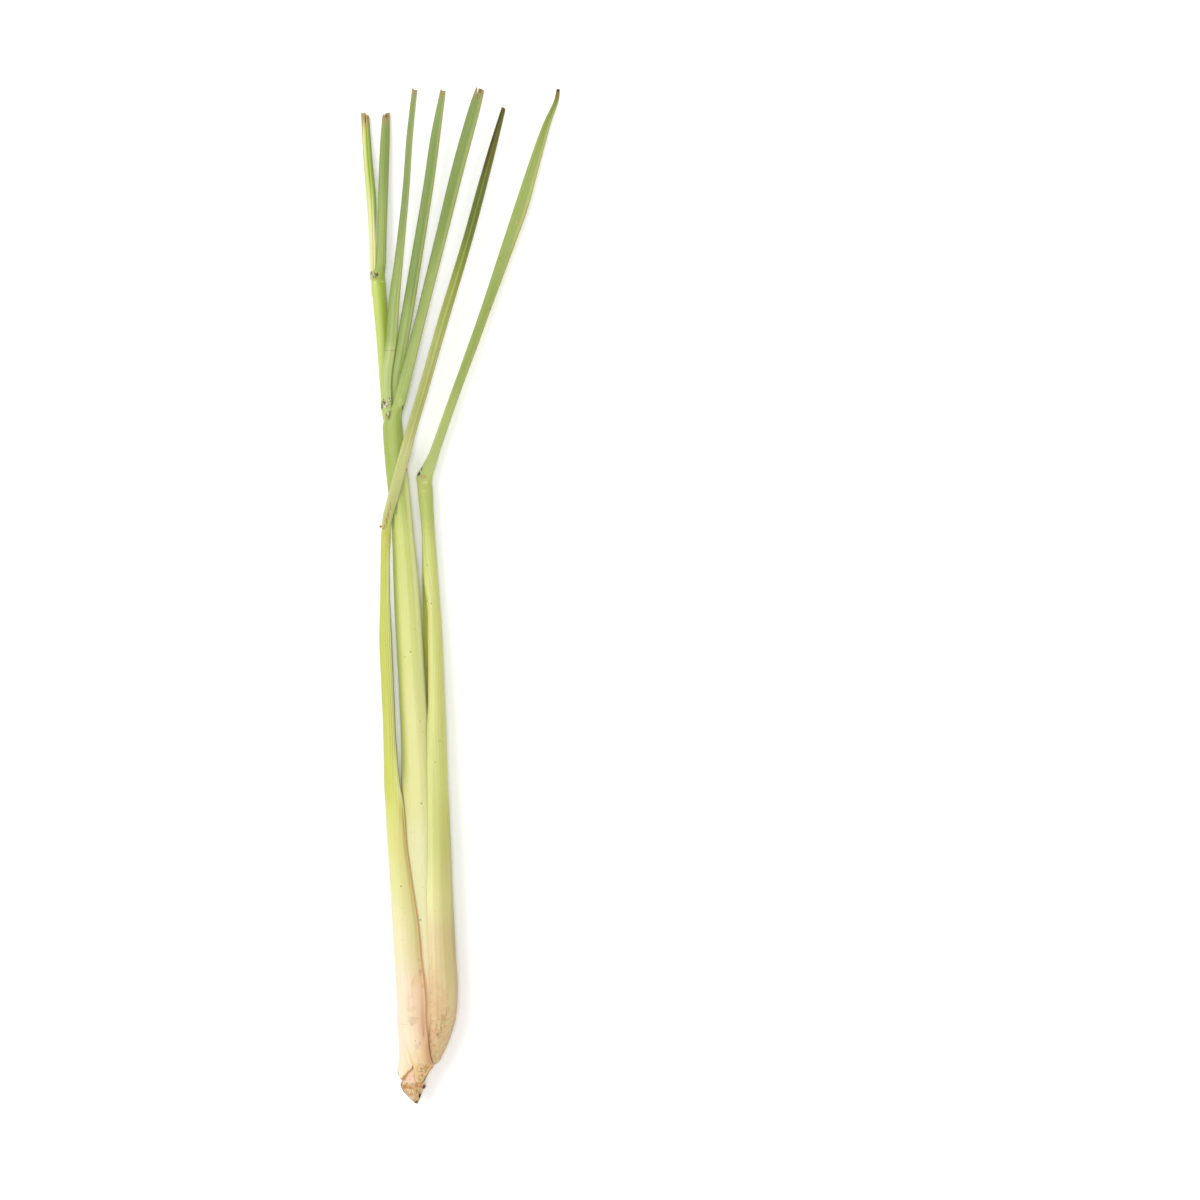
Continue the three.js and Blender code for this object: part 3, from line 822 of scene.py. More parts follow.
def quill_relief(along, share):
    """A groove at the seam: minus the depth times a narrow bell round it."""
    return -QUILL_DEPTH * np.exp(-(((share - QUILL_SEAM) / QUILL_SEAM_WIDTH) ** 2))


heart_along = rings((255, SHEATH_STEP), (318, COLLAR_STEP), (336, BLADE_STEP), (386, CUT_STEP), end=390)
heart_section = join_sections(
    rod_section(HEART_ROD, HEART_START, plain),
    blade_section(HEART_BLADE, False, blade_relief),
    *HEART_COLLAR,
)
heart_cut = cut_end(heart_along, HEART_COLUMNS, HEART_CUT)
heart_stem = sweep("heart_stem_skin", heart_section, heart_along, HEART_COLUMNS, heart_cut)
quill_along = rings((318, QUILL_STEP), (386, CUT_STEP), end=390)
quill_section = rod_section(HEART_LEAF_ROD, 0, quill_relief)
quill_cut = cut_end(quill_along, QUILL_COLUMNS, QUILL_CUT)
heart_leaf = sweep("heart_leaf_skin", quill_section, quill_along, QUILL_COLUMNS, quill_cut)

# %% [markdown]
# ## Scraps at the collars
#
# Where a sheath ends, grass keeps a ligule: a short papery collar that once pressed against the next leaf.
# Here the ligules are torn to shreds. Each is a sheath section of its own, only a fifth of a millimetre
# thick and a few millimetres long, with ragged rims. One grain of dried sap sits on the edge of the outer
# collar.

# %% Make the torn ligules
PAPER = 0.2  # thickness of a ligule
LIGULE_COLUMNS = 24
LIGULE_RINGS = 12
RAGGED = 0.3  # share of its length by which each rim is torn on average


def nothing_under(along, x, clearance, above):
    """The height of nothing: a ligule is draped over no other piece."""
    return np.where(above, -np.inf, np.inf)


def ligule(name, ellipse, angles, start, end, seed):
    """A short thin arc round the ellipse, torn off at both ends by (1 + noise) * RAGGED * its length."""
    rows = [[start, *ellipse, *angles], [end, *ellipse, *angles]]
    section = sheath_section(rows, nothing_under, plain, PAPER)
    share = np.linspace(0, 1, LIGULE_COLUMNS)[None, :]
    torn_off = RAGGED * (end - start)
    lower, upper = ((1 + soft_noise(share * 9, share + row, seed)) * torn_off for row in (3, 7))
    rise = np.linspace(0, 1, LIGULE_RINGS)
    placed = lerp(start + lower, end - upper, rise[:, None])
    return sweep(name, section, lerp(start, end, rise), LIGULE_COLUMNS, placed)


LIGULES = [
    ligule("first_ligule", (-27.4, 7.1, 3.95, 3.6), (88, 170), 272.6, 278.4, 71),
    ligule("first_shred", (-27.2, 7.1, 4.0, 3.75), (92, 120), 268.4, 273.4, 73),
    ligule("heart_ligule", (-33.0, 4.8, 2.95, 2.6), (88, 150), 324.0, 328.2, 79),
]

# %% Make the grain of sap
SAP_PLACE = (-31.15, 227.1, 10.9)  # x, along and z
SAP_RADIUS = 0.5
SAP_RINGS = 9
SAP_COLUMNS = 8
POLE = 0.04  # share of the half turn left flat at each pole of the grain


def round_rod(place, radius):
    """Rod stations of a ball: along - radius * cos(turn), with half sizes of radius * sin(turn)."""
    x, along, z = place
    turns = np.linspace(POLE, 1 - POLE, SAP_RINGS) * np.pi
    reach, half = -radius * np.cos(turns), radius * np.sin(turns)
    return [[along + step, x, z, size, size] for step, size in zip(reach, half)]


sap_rows = round_rod(SAP_PLACE, SAP_RADIUS)
sap_along = np.linspace(sap_rows[0][0], sap_rows[-1][0], SAP_RINGS)
sap = sweep("sap_grain", rod_section(sap_rows, 0, plain), sap_along, SAP_COLUMNS)

# %% [markdown]
# ## Shader sentences
#
# A finish is easier to read as a sum than as a web of nodes. `Signal` stands for one socket, and ordinary
# arithmetic on it adds the Math nodes. `Finish` holds the material and has one method that adds any other
# node: its settings first, then its inputs. Colours are mixed, never multiplied by a Math node, which would
# turn them grey.


# %% Signals
class Signal:
    """A socket of a finish. Arithmetic on it adds Math nodes."""

    def __init__(self, finish, socket):
        self.finish = finish
        self.socket = socket

    def math(self, operation, *values):
        inputs = dict(enumerate(values))
        return self.finish.node("ShaderNodeMath", {"operation": operation}, inputs)

    def __add__(self, other):
        return self.math("ADD", self, other)

    def __sub__(self, other):
        return self.math("SUBTRACT", self, other)

    def __rsub__(self, other):
        return self.math("SUBTRACT", other, self)

    def __mul__(self, other):
        return self.math("MULTIPLY", self, other)

    def __abs__(self):
        return self.math("ABSOLUTE", self)

    def most(self, other):
        return self.math("MAXIMUM", self, other)

    __radd__ = __add__
    __rmul__ = __mul__


print("reflected operators of a signal:", [name for name in vars(Signal) if name.startswith("__r")])

# %% [markdown]
# A plant's skin is built up as a painter would: a ground colour, then one thin tint after another, each
# where its masks are. So `Finish` also holds the colour so far, and `lay` adds the next tint. Nodes that
# only read something are cached, because dozens of tints read the same few.

# %% Finishes
SPOT_GRAIN = 1500  # cells of noise in a metre, at the edge of a spot
SPOT_RAGGEDNESS = 1.4
SOFT_DOT = 0.4  # share of a speck's radius within which it is whole


class Finish:
    """A material under construction, with the colour that is laid so far."""

    def __init__(self, name, colour=None):
        self.material = bpy.data.materials.new(name)
        self.material.use_nodes = True
        self.tree = self.material.node_tree
        self.surface = self.tree.nodes["Principled BSDF"]
        self.colour = colour

    def feed(self, socket, value):
        """Links a signal to the socket, or sets a plain number or colour on it."""
        if isinstance(value, Signal):
            self.tree.links.new(value.socket, socket)
        elif socket.type == "RGBA":
            socket.default_value = (*value[:3], 1)
        else:
            socket.default_value = value

    def node(self, kind, settings, inputs, output=0):
        """Adds a node of that kind and returns one of its outputs as a signal."""
        made = self.tree.nodes.new(kind)
        for name, value in settings.items():
            setattr(made, name, value)
        for name, value in inputs.items():
            self.feed(made.inputs[name], value)
        return Signal(self, made.outputs[output])

    @functools.cache
    def stored(self, label):
        """A float that the mesh stores for each vertex."""
        return self.node("ShaderNodeAttribute", {"attribute_name": label}, {}, "Fac")

    @functools.cache
    def position(self):
        """Object coordinates, in metres."""
        return self.node("ShaderNodeTexCoord", {}, {}, "Object")

    @functools.cache
    def noise(self, point, scale, detail=2.0):
        """Noise from 0 to 1 round 0.5."""
        inputs = {"Vector": point, "Scale": scale, "Detail": detail}
        return self.node("ShaderNodeTexNoise", {}, inputs)

    def grain(self, scale, detail=2.0):
        """Noise that stands still in the piece, with `scale` cells to the metre."""
        return self.noise(self.position(), scale, detail)

    def point(self, x, y, z=0.0):
        """A vector from three numbers."""
        return self.node("ShaderNodeCombineXYZ", {}, {"X": x, "Y": y, "Z": z})

    def fade(self, value, start, end):
        """0 at start, 1 at end, with a smoothstep between; start may be the larger. Text names a label."""
        if isinstance(value, str):
            value = self.stored(value)
        inputs = {"Value": value, "From Min": start, "From Max": end}
        return self.node("ShaderNodeMapRange", {"interpolation_type": "SMOOTHSTEP"}, inputs)

    def band(self, value, start, end, soft):
        """1 between start and end, 0 outside, with edges as wide as soft."""
        return self.fade(value, start - soft, start) * self.fade(value, end + soft, end)

    def mix(self, share, first, second):
        """A colour between two colours."""
        inputs = {0: share, 6: first, 7: second}
        return self.node("ShaderNodeMix", {"data_type": "RGBA"}, inputs, 2)

    def lay(self, tint, strength, *masks, **fades):
        """Mixes a tint over the colour so far, by the strength times every mask and fade.

        across=(0, 1) is a fade of the stored value `across`, from nothing at 0 to the full tint at 1."""
        masks += tuple(self.fade(label, *ends) for label, ends in fades.items())
        self.colour = self.mix(math.prod(masks, start=strength), self.colour, tint)

    def specks(self, scale, radius, share):
        """1 in small round dots: near the middle of those cells whose random number is below `share`."""
        cells = {"Vector": self.position(), "Scale": scale}
        distance = self.node("ShaderNodeTexVoronoi", {}, cells, "Distance")
        colour = self.node("ShaderNodeTexVoronoi", {}, cells, "Color")
        chance = self.node("ShaderNodeSeparateColor", {}, {"Color": colour}, "Red")
        return self.fade(distance, radius, radius * SOFT_DOT) * self.fade(chance, share, share * 0.9)

    def spot(self, place, size):
        """1 in a ragged patch: the place in millimetres (x, along, z), and its half sizes."""
        x, along, z = place
        middle = (x * MM, (along - LENGTH / 2) * MM, z * MM)
        away = self.node("ShaderNodeVectorMath", {"operation": "SUBTRACT"}, {0: self.position(), 1: middle})
        scale = tuple(1 / (half * MM) for half in size)
        away = self.node("ShaderNodeVectorMath", {"operation": "MULTIPLY"}, {0: away, 1: scale})
        length = self.node("ShaderNodeVectorMath", {"operation": "LENGTH"}, {0: away}, "Value")
        wobble = (self.grain(SPOT_GRAIN) - 0.5) * SPOT_RAGGEDNESS
        return self.fade(length + wobble, 1.0, 0.6)

    def finish(self, roughness, height=None, relief_mm=0.05, **constants):
        """Feeds the surface and returns the material. The height goes to a Bump node, in millimetres."""
        self.feed(self.surface.inputs["Base Color"], self.colour)
        self.feed(self.surface.inputs["Roughness"], roughness)
        if height is not None:
            bump = {"Height": height, "Distance": relief_mm * MM, "Strength": 1.0}
            self.feed(self.surface.inputs["Normal"], self.node("ShaderNodeBump", {}, bump))
        for name, value in constants.items():
            self.feed(self.surface.inputs[name.replace("_", " ")], value)
        print(self.material.name, "has", len(self.tree.nodes), "nodes")
        return self.material


SKIN_SHARE = 0.74  # the table is lit brighter than white, so a skin gives back this share of its colour


def srgb(red, green, blue):
    """A colour as a painter reads it, 0 to 255, turned into the linear light that shaders mix."""
    values = np.array([red, green, blue]) / 255
    linear = np.where(values <= 0.04045, values / 12.92, ((values + 0.055) / 1.055) ** 2.4)
    return tuple((SKIN_SHARE * linear).tolist())


print("mid grey in linear light:", round(srgb(128, 128, 128)[0], 3))

# %% [markdown]
# ## Colours of the skin
#
# The underground base is cream, the sheaths pass through straw to yellow-green, and the blades are mid
# green with brown cut ends. Where air reached a margin it dried to a rusty line. All the finishes share one
# palette, so a tint on one leaf comes back on the next, as it does on a plant.

# %% The palette
CREAM = srgb(252, 236, 207)
IVORY = srgb(248, 238, 192)
PEACH = srgb(242, 206, 154)
PALE_PEACH = srgb(236, 218, 166)
BEIGE = srgb(228, 194, 146)
SAND = srgb(235, 214, 162)
PALE_STRAW = srgb(230, 226, 170)
STRAW = srgb(227, 225, 150)
WARM_STRAW = srgb(237, 234, 162)
LEMON = srgb(229, 227, 136)
LIME = srgb(209, 212, 90)
YELLOW_GREEN = srgb(202, 207, 88)
PALE_GREEN = srgb(219, 223, 135)
STEM_GREEN = srgb(209, 216, 120)
SOFT_GREEN = srgb(182, 196, 99)
SHEATH_GREEN = srgb(164, 184, 83)
LEAF_GREEN = srgb(166, 184, 97)
BLADE_GREEN = srgb(156, 176, 87)
DEEP_GREEN = srgb(122, 147, 56)
GREY_GREEN = srgb(137, 156, 84)
BAND_GREEN = srgb(191, 206, 125)
RIBBED_YELLOW = srgb(222, 225, 162)
DULL_YELLOW = srgb(195, 203, 127)
DRY_GREEN = srgb(178, 187, 98)
MOSS = srgb(148, 164, 70)
DARK_MOSS = srgb(117, 134, 55)
BRIGHT_GREEN = srgb(166, 188, 54)
HEART_YELLOW = srgb(206, 218, 108)
QUILL_CREAM = srgb(234, 234, 166)
# painted light: far paler than olive, for light that comes through a thin wall into shade
INSIDE_PAINTED_LIGHT = srgb(238, 244, 128)
# painted light, laid where the round side of a leaf catches the light
PAINTED_EDGE_LIGHT = srgb(244, 247, 176)
OLIVE_TAN = srgb(196, 180, 98)
OLIVE_SHADE = srgb(158, 172, 70)
BLUSH = srgb(222, 174, 124)
ORANGE = srgb(238, 192, 112)
ROSE = srgb(206, 154, 118)
TAN = srgb(196, 160, 104)
GREY_TAN = srgb(168, 132, 86)
RUST = srgb(206, 142, 76)
DARK_RUST = srgb(118, 66, 38)
CUT_TAN = srgb(184, 156, 98)
CUT_BROWN = srgb(112, 78, 42)
BARK = srgb(66, 42, 24)
PITH = srgb(232, 202, 158)
WOOD = srgb(210, 168, 108)
PINK = srgb(248, 212, 178)
PAPER_WHITE = srgb(226, 226, 196)
BRUISE = srgb(104, 82, 80)
print("the palette's yellow-green in linear light:", [round(value, 3) for value in YELLOW_GREEN])

# %% [markdown]
# ## Fresh plant skin
#
# A fresh sheath is smooth, waxy and slightly see-through, so light sinks a fraction of a millimetre into
# it. Its colour runs along the leaf: cream underground, straw, then yellow-green where it saw the sun. Fine
# veins run the whole way, and small specks and bruises lie across them. A flat image could be wrapped
# round each leaf, but it would blur close up, so the colour is worked out from the distance along and the
# share across that each mesh stores. These helpers lay what all the leaves have in common.

# %% The plant skin recipe
SKIN_LIGHT_DEPTH = 0.0006  # metres that red light travels inside the skin
FRONT_GRAIN = 60  # cells in a metre of the noise that makes a colour's front uneven
VEIN_STRETCH = 0.012  # cells of noise in a millimetre along a vein
FINE_VEIN_STRETCH = 0.18
FINE_VEINS = 0.6  # how much the fine streaks count beside the coarse ones


def skin(name, stops, wander=6.0):
    """A finish whose stops' colours follow one another along the leaf, each with an uneven front."""
    finish = Finish(name, stops[0][1])
    drift = (finish.grain(FRONT_GRAIN) - 0.5) * (2 * wander)
    uneven = finish.stored("along") + drift
    for (start, _), (end, arriving) in zip(stops, stops[1:]):
        finish.lay(arriving, 1, finish.fade(uneven, start, end))
    return finish


def veins(finish, count):
    """Lengthwise streaks: noise stretched along the leaf, `count` cells across it, with short fine ones."""
    around, along = finish.stored("around"), finish.stored("along")
    coarse = finish.noise(finish.point(around * count, along * VEIN_STRETCH), 1.0, 3.0)
    fine = finish.noise(finish.point(around * (3 * count), along * FINE_VEIN_STRETCH), 1.0)
    return coarse + (fine - 0.5) * FINE_VEINS


def lay_veins(finish, streaks, darker, lighter, strength):
    """Streaks one way from the middle go darker, the other way lighter."""
    finish.lay(darker, strength, finish.fade(streaks, 0.5, 0.32))
    finish.lay(lighter, strength, finish.fade(streaks, 0.5, 0.68))


def lay_two_sides(finish, dark, light, on_blade):
    """A blade's left side in painted shade, painted light in a paler band on its right, and the dry edge
    beyond it.
    """
    finish.lay(dark, 0.6, across=(0.1, -0.9), along=on_blade)
    finish.lay(light, 0.45, across=(0.25, 0.7), along=on_blade)
    finish.lay(TAN, 0.55, across=(0.8, 0.95), along=on_blade)


def lay_cut_end(finish, start, end, brown=0.8):
    """The cut end dries tan, with dark brown fibres, further down some veins than others."""
    fibres = finish.noise(finish.point(finish.stored("around") * 22, 0.0), 1.0)
    dried = finish.fade(finish.stored("along") + (fibres - 0.5) * 4, start, end)
    finish.lay(CUT_TAN, brown, dried)
    finish.lay(CUT_BROWN, brown, dried, finish.fade(fibres, 0.52, 0.42))


def lay_specks(finish, share=0.1):
    """Small brown specks scattered over the skin, in two sizes."""
    dots, dust = finish.specks(260, 0.14, share), finish.specks(620, 0.16, share)
    finish.lay(DARK_RUST, 0.6, dots.most(dust * 0.8))


def lay_spots(finish, spots):
    """Single marks: each is a place (x, along, z) and half sizes in millimetres, a tint and a strength."""
    for place, size, tint, strength in spots:
        finish.lay(tint, strength, finish.spot(place, size))


def wax(finish, height, roughness=0.42, relief_mm=0.04):
    """The waxy surface itself."""
    return finish.finish(
        roughness,
        height,
        relief_mm,
        Subsurface_Weight=0.25,
        Subsurface_Radius=(1.0, 0.8, 0.3),
        Subsurface_Scale=SKIN_LIGHT_DEPTH,
        Specular_IOR_Level=0.35,
    )


print("light sinks", SKIN_LIGHT_DEPTH / MM, "mm into the skin")

# %% [markdown]
# ## Finish of the main stem
#
# The stem shows between the two leaves as a straw-coloured strip, then as a yellow-green rod that greens
# towards its collar. It is round, so its left side turns from the light and its right side catches it. The
# front blade is the same piece, and a blade shows that difference as two flat halves.

# %% The main stem's colours and spots
STEM_COLOURS = [
    (44, PEACH),
    (58, PALE_PEACH),
    (76, PALE_STRAW),
    (104, PALE_STRAW),
    (120, STRAW),
    (150, STRAW),
    (180, PALE_GREEN),
    (222, STEM_GREEN),
    (238, SOFT_GREEN),
    (256, SHEATH_GREEN),
    (272, SHEATH_GREEN),
    (285, LEAF_GREEN),
    (320, BLADE_GREEN),
    (355, DEEP_GREEN),
]
STEM_SPOTS = [
    ((-20.9, 249.7, 7), (0.3, 1.0, 9), DARK_RUST, 0.8),
    ((-22.5, 274.0, 9), (0.3, 1.1, 9), BARK, 0.8),
    ((-22.4, 269.0, 9), (0.4, 2.6, 9), OLIVE_SHADE, 0.6),
    ((-24.8, 281.5, 10), (0.3, 0.4, 9), CUT_BROWN, 0.5),
    ((-23.2, 288.0, 10), (0.4, 0.5, 9), CUT_BROWN, 0.6),
    ((8.0, 398.3, 11), (0.5, 1.1, 9), CUT_BROWN, 0.8),
    ((6.9, 396.6, 11), (0.25, 2.0, 9), CUT_BROWN, 0.7),
    ((8.0, 396.0, 11), (0.2, 2.0, 9), RUST, 0.6),
    ((-21.5, 300.0, 11), (0.4, 0.5, 9), CUT_BROWN, 0.5),
    ((-21.5, 175.9, 13), (0.35, 0.5, 9), TAN, 0.6),
    ((-23.4, 276.0, 11), (1.1, 2.6, 9), BAND_GREEN, 0.6),
    ((-22.9, 270.5, 11), (1.0, 1.8, 9), BAND_GREEN, 0.6),
    # the last two are painted shadow, dark moss green, where the outer blade lies over the stem
    ((-24.9, 234.0, 8), (0.7, 4.0, 9), DARK_MOSS, 0.6),
    ((-26.2, 229.5, 8), (0.7, 4.0, 9), DARK_MOSS, 0.6),
]
print(len(STEM_COLOURS), "colours follow one another, with", len(STEM_SPOTS), "spots over them")


# %% The main stem's finish
def stem_finish():
    """Straw in the bulb, yellow-green above it, green past the collar, with painted light on its right."""
    finish = skin("stem_finish", STEM_COLOURS)
    streaks = veins(finish, 60)
    lay_veins(finish, streaks, SOFT_GREEN, PALE_STRAW, 0.25)
    # its left side, turned from the light, and its right side, which catches it
    finish.lay(OLIVE_SHADE, 0.85, finish.fade("along", 250, 235), across=(-0.5, -1.0), along=(118, 135))
    finish.lay(PAINTED_EDGE_LIGHT, 0.8, across=(0.4, 0.9), along=(262, 240))
    lay_two_sides(finish, DEEP_GREEN, BAND_GREEN, (276, 300))
    # the dark edge of the collar and the bruised left edge of the blade
    finish.lay(OLIVE_SHADE, 0.7, finish.band("along", 265, 275, 4), across=(0.78, 0.95))
    finish.lay(BRUISE, 0.7, finish.band("along", 303, 332, 8), across=(-0.86, -0.95))
    lay_cut_end(finish, 394, 399.5)
    lay_specks(finish)
    lay_spots(finish, STEM_SPOTS)
    return wax(finish, streaks)


stem_material = stem_finish()

# %% [markdown]
# ## Finish of the second leaf
#
# Its base was underground and is beige, with a blush, rusty flecks and a dotted rusty margin, and it is
# darker on its right, partly painted shade. Above ground it is pale green, lime on its right side, and olive
# where the open sheath shows its inside, painted far paler than olive as light that comes through the thin
# wall into the shaded gap. The mesh marks its inner face, so the inside needs no material of its own.

# %% The second leaf's colours and spots
SECOND_COLOURS = [
    (26, BEIGE),
    (40, SAND),
    (66, SAND),
    (80, WARM_STRAW),
    (102, PALE_GREEN),
    (200, PALE_GREEN),
    (218, STEM_GREEN),
    (234, SOFT_GREEN),
    (244, SOFT_GREEN),
    (254, BAND_GREEN),
    (268, BAND_GREEN),
    (292, LEAF_GREEN),
    (316, BLADE_GREEN),
]
SECOND_SPOTS = [
    ((-6.4, 33.5, 12), (1.6, 3.2, 12), GREY_TAN, 0.35),
    ((-8.0, 28, 12), (1.3, 2.6, 12), GREY_TAN, 0.35),
    ((-7.3, 29.8, 12), (0.45, 2.2, 12), GREY_TAN, 0.6),
    ((-8.6, 27.6, 12), (0.3, 0.7, 12), DARK_RUST, 0.6),
    ((-8.9, 31.4, 12), (0.25, 1.2, 12), GREY_TAN, 0.6),
    ((-5.2, 36.0, 12), (0.3, 1.6, 12), GREY_TAN, 0.5),
    ((-11.8, 33, 15), (0.9, 4.5, 9), BLUSH, 0.5),
    ((-11.7, 35, 15), (0.4, 1.4, 6), SAND, 0.6),
    ((-10.9, 56, 15), (0.25, 3.4, 9), BLUSH, 0.5),
    ((-11.2, 44, 15), (0.3, 0.6, 9), RUST, 0.6),
    ((-10.7, 50, 15), (0.3, 0.5, 9), RUST, 0.5),
    ((-9.6, 134.6, 12), (0.3, 0.5, 9), TAN, 0.7),
    ((-14.2, 241.2, 8), (0.3, 0.5, 6), PALE_STRAW, 0.7),
    ((-14.5, 246.8, 7), (1.6, 1.2, 9), TAN, 0.6),
    ((-13.6, 244.6, 7), (1.2, 0.4, 9), STRAW, 0.7),
    ((-16.4, 247.8, 7), (0.9, 0.9, 9), BRUISE, 0.9),
    ((-16.2, 248.4, 7), (0.4, 0.8, 9), BARK, 0.8),
    ((-15.3, 250.2, 7), (0.6, 1.1, 9), BRUISE, 0.8),
    ((22.3, 347.1, 6), (0.6, 1.3, 9), BLUSH, 0.5),
    ((7.4, 311.2, 9), (0.3, 1.6, 9), BRUISE, 0.5),
    ((6.5, 308.6, 9), (0.25, 1.4, 9), BRUISE, 0.5),
    ((-12.6, 226.5, 8), (0.3, 0.5, 6), TAN, 0.7),
    ((-12.9, 212.0, 8), (0.4, 0.5, 6), TAN, 0.7),
    ((-12.9, 197.8, 8), (0.25, 0.4, 6), DARK_RUST, 0.6),
]
print(len(SECOND_COLOURS), "colours follow one another, with", len(SECOND_SPOTS), "spots over them")


# %% The second leaf's finish
def lay_second_base(finish, uneven):
    """Blushes and flecks low down; an olive ridge and a tan right edge beside them, partly painted shade."""
    patches = finish.grain(150, 3.0)
    flecks = finish.grain(700)
    finish.lay(BLUSH, 0.5, finish.fade(patches, 0.5, 0.66), along=(62, 38))
    finish.lay(BLUSH, 0.5, around=(0.12, 0.05), along=(62, 38))
    # partly painted shade: an olive ridge where the lobe turns from the light
    finish.lay(OLIVE_TAN, 0.25, finish.band(uneven, 0.45, 0.68, 0.2), finish.band("along", 48, 98, 16))
    finish.lay(LIME, 0.45, finish.fade(uneven, 0.1, 0.9), finish.fade("along", 92, 120), along=(225, 200))
    # partly painted shade: a tan right edge where the leaf turns from the light
    finish.lay(TAN, 0.6, finish.fade(uneven, 0.72, 0.94), along=(90, 60))
    finish.lay(PALE_PEACH, 0.6, finish.fade(flecks, 0.5, 0.7), along=(44, 30))
    finish.lay(RUST, 0.6, finish.fade(flecks, 0.46, 0.3), along=(44, 30))
    # partly painted shade: olive over its right side and its right edge
    finish.lay(OLIVE_TAN, 0.25, finish.band("along", 56, 112, 14), across=(0.1, 0.4))
    finish.lay(OLIVE_SHADE, 0.4, finish.band("along", 66, 110, 14), across=(0.78, 0.95))


def lay_second_margin(finish):
    """A rusty line along the first margin: whole half way up, dotted at the base, dark above the collar."""
    dotted = finish.fade(finish.grain(450, 3.0), 0.5, 0.62)
    rusty = finish.band("along", 158, 192, 6).most(finish.band("along", 26, 50, 12) * dotted * 0.7)
    finish.lay(RUST, 1, rusty, around=(0.022, 0))
    finish.lay(OLIVE_SHADE, 0.7, finish.band("along", 249, 268, 4), around=(0.05, 0))


def second_finish():
    """Beige low, pale green above, a green blade; painted light inside, and partly painted shade on the
    right.
    """
    finish = skin("second_leaf_finish", SECOND_COLOURS)
    across = finish.stored("across")
    streaks = veins(finish, 70)
    lay_veins(finish, streaks, OLIVE_TAN, PALE_STRAW, 0.25)
    lay_second_base(finish, across + (streaks - 0.5) * 0.3)
    lay_two_sides(finish, LEAF_GREEN, BAND_GREEN, (262, 300))
    finish.lay(STRAW, 0.4, finish.band("across", 0.55, 0.8, 0.15), along=(330, 350))
    finish.lay(BAND_GREEN, 0.5, finish.fade(abs(across - 0.1), 0.3, 0.1), finish.band("along", 250, 285, 8))
    # painted light: the inner face, far paler than olive, stands for light coming through the thin wall
    finish.lay(INSIDE_PAINTED_LIGHT, 1, finish.stored("inside"))
    lay_second_margin(finish)
    lay_cut_end(finish, 393, 399.5)
    finish.lay(BARK, 1, along=(398.8, 399.8))
    lay_specks(finish)
    lay_spots(finish, SECOND_SPOTS)
    return wax(finish, streaks)


second_material = second_finish()

# %% [markdown]
# ## Finish of the outer leaf
#
# The outer leaf has weathered most. It is cream where it wraps the bulb, rosy and rusty along its margin,
# and scarred where its base was torn off with the roots. Its blade is ribbed yellow and turns dark moss
# green towards the tip. Distance from the torn rim is stored in the mesh, so the rust follows each notch.

# %% The outer leaf's colours and spots
OUTER_COLOURS = [
    (46, CREAM),
    (66, IVORY),
    (88, WARM_STRAW),
    (106, LEMON),
    (124, LIME),
    (160, YELLOW_GREEN),
    (222, YELLOW_GREEN),
    (232, RIBBED_YELLOW),
    (255, RIBBED_YELLOW),
    (272, DULL_YELLOW),
    (300, DULL_YELLOW),
    (316, DRY_GREEN),
    (332, MOSS),
    (350, DARK_MOSS),
]
OUTER_SPOTS = [
    ((-27.3, 235.0, 11), (0.35, 2.0, 9), RUST, 0.5),
    ((-28.1, 231.8, 11), (0.4, 2.2, 9), RUST, 0.6),
    ((-28.8, 229.2, 10), (0.45, 1.8, 9), RUST, 0.75),
    ((-29.5, 227.2, 10), (0.4, 1.0, 9), GREY_TAN, 0.7),
    ((-30.0, 226.3, 9), (0.5, 0.6, 9), RUST, 0.8),
    ((-29.6, 220.5, 9), (0.6, 3.0, 9), BEIGE, 0.4),
    ((-15.8, 11.2, 12), (1.3, 0.25, 9), RUST, 0.6),
    ((-22.0, 266.0, 12), (0.25, 4.0, 9), BLUSH, 0.5),
    ((-18.8, 274.0, 12), (0.2, 3.0, 9), BLUSH, 0.5),
    ((-18.2, 33.2, 15), (2.2, 2.2, 9), GREY_TAN, 0.25),
    ((-16.6, 34.2, 15), (0.5, 1.1, 9), RUST, 0.3),
    ((-18.9, 31.5, 15), (0.6, 1.0, 9), RUST, 0.3),
    ((-15.1, 52.4, 15), (1.0, 1.3, 9), GREY_TAN, 0.4),
    ((-15.7, 57.0, 15), (0.5, 0.6, 9), RUST, 0.4),
    ((-18.3, 48.5, 15), (0.5, 0.9, 9), RUST, 0.25),
    ((-14.4, 47.0, 15), (0.7, 1.3, 9), RUST, 0.4),
    ((-16.8, 23.0, 15), (1.5, 1.2, 9), GREY_TAN, 0.2),
    ((-17.9, 49.5, 15), (0.5, 1.2, 9), OLIVE_TAN, 0.3),
    ((-17.3, 25.2, 15), (0.25, 0.5, 9), GREY_TAN, 0.6),
    ((-15.6, 24.4, 15), (0.25, 0.7, 9), GREY_TAN, 0.6),
    ((-14.2, 27.8, 15), (0.3, 1.2, 9), GREY_TAN, 0.5),
    ((-22.0, 31.6, 15), (1.9, 0.16, 9), TAN, 0.45),
    ((-24.3, 11.8, 9), (0.5, 0.9, 9), RUST, 0.8),
    ((-15.2, 51.0, 16), (0.3, 0.5, 9), TAN, 0.7),
    ((-14.6, 55.5, 16), (0.3, 0.4, 9), TAN, 0.7),
    ((-24.1, 124.9, 8), (0.3, 0.5, 9), TAN, 0.7),
    ((-13.2, 14.3, 12), (0.8, 0.6, 9), RUST, 0.5),
]
print(len(OUTER_COLOURS), "colours follow one another, with", len(OUTER_SPOTS), "spots over them")


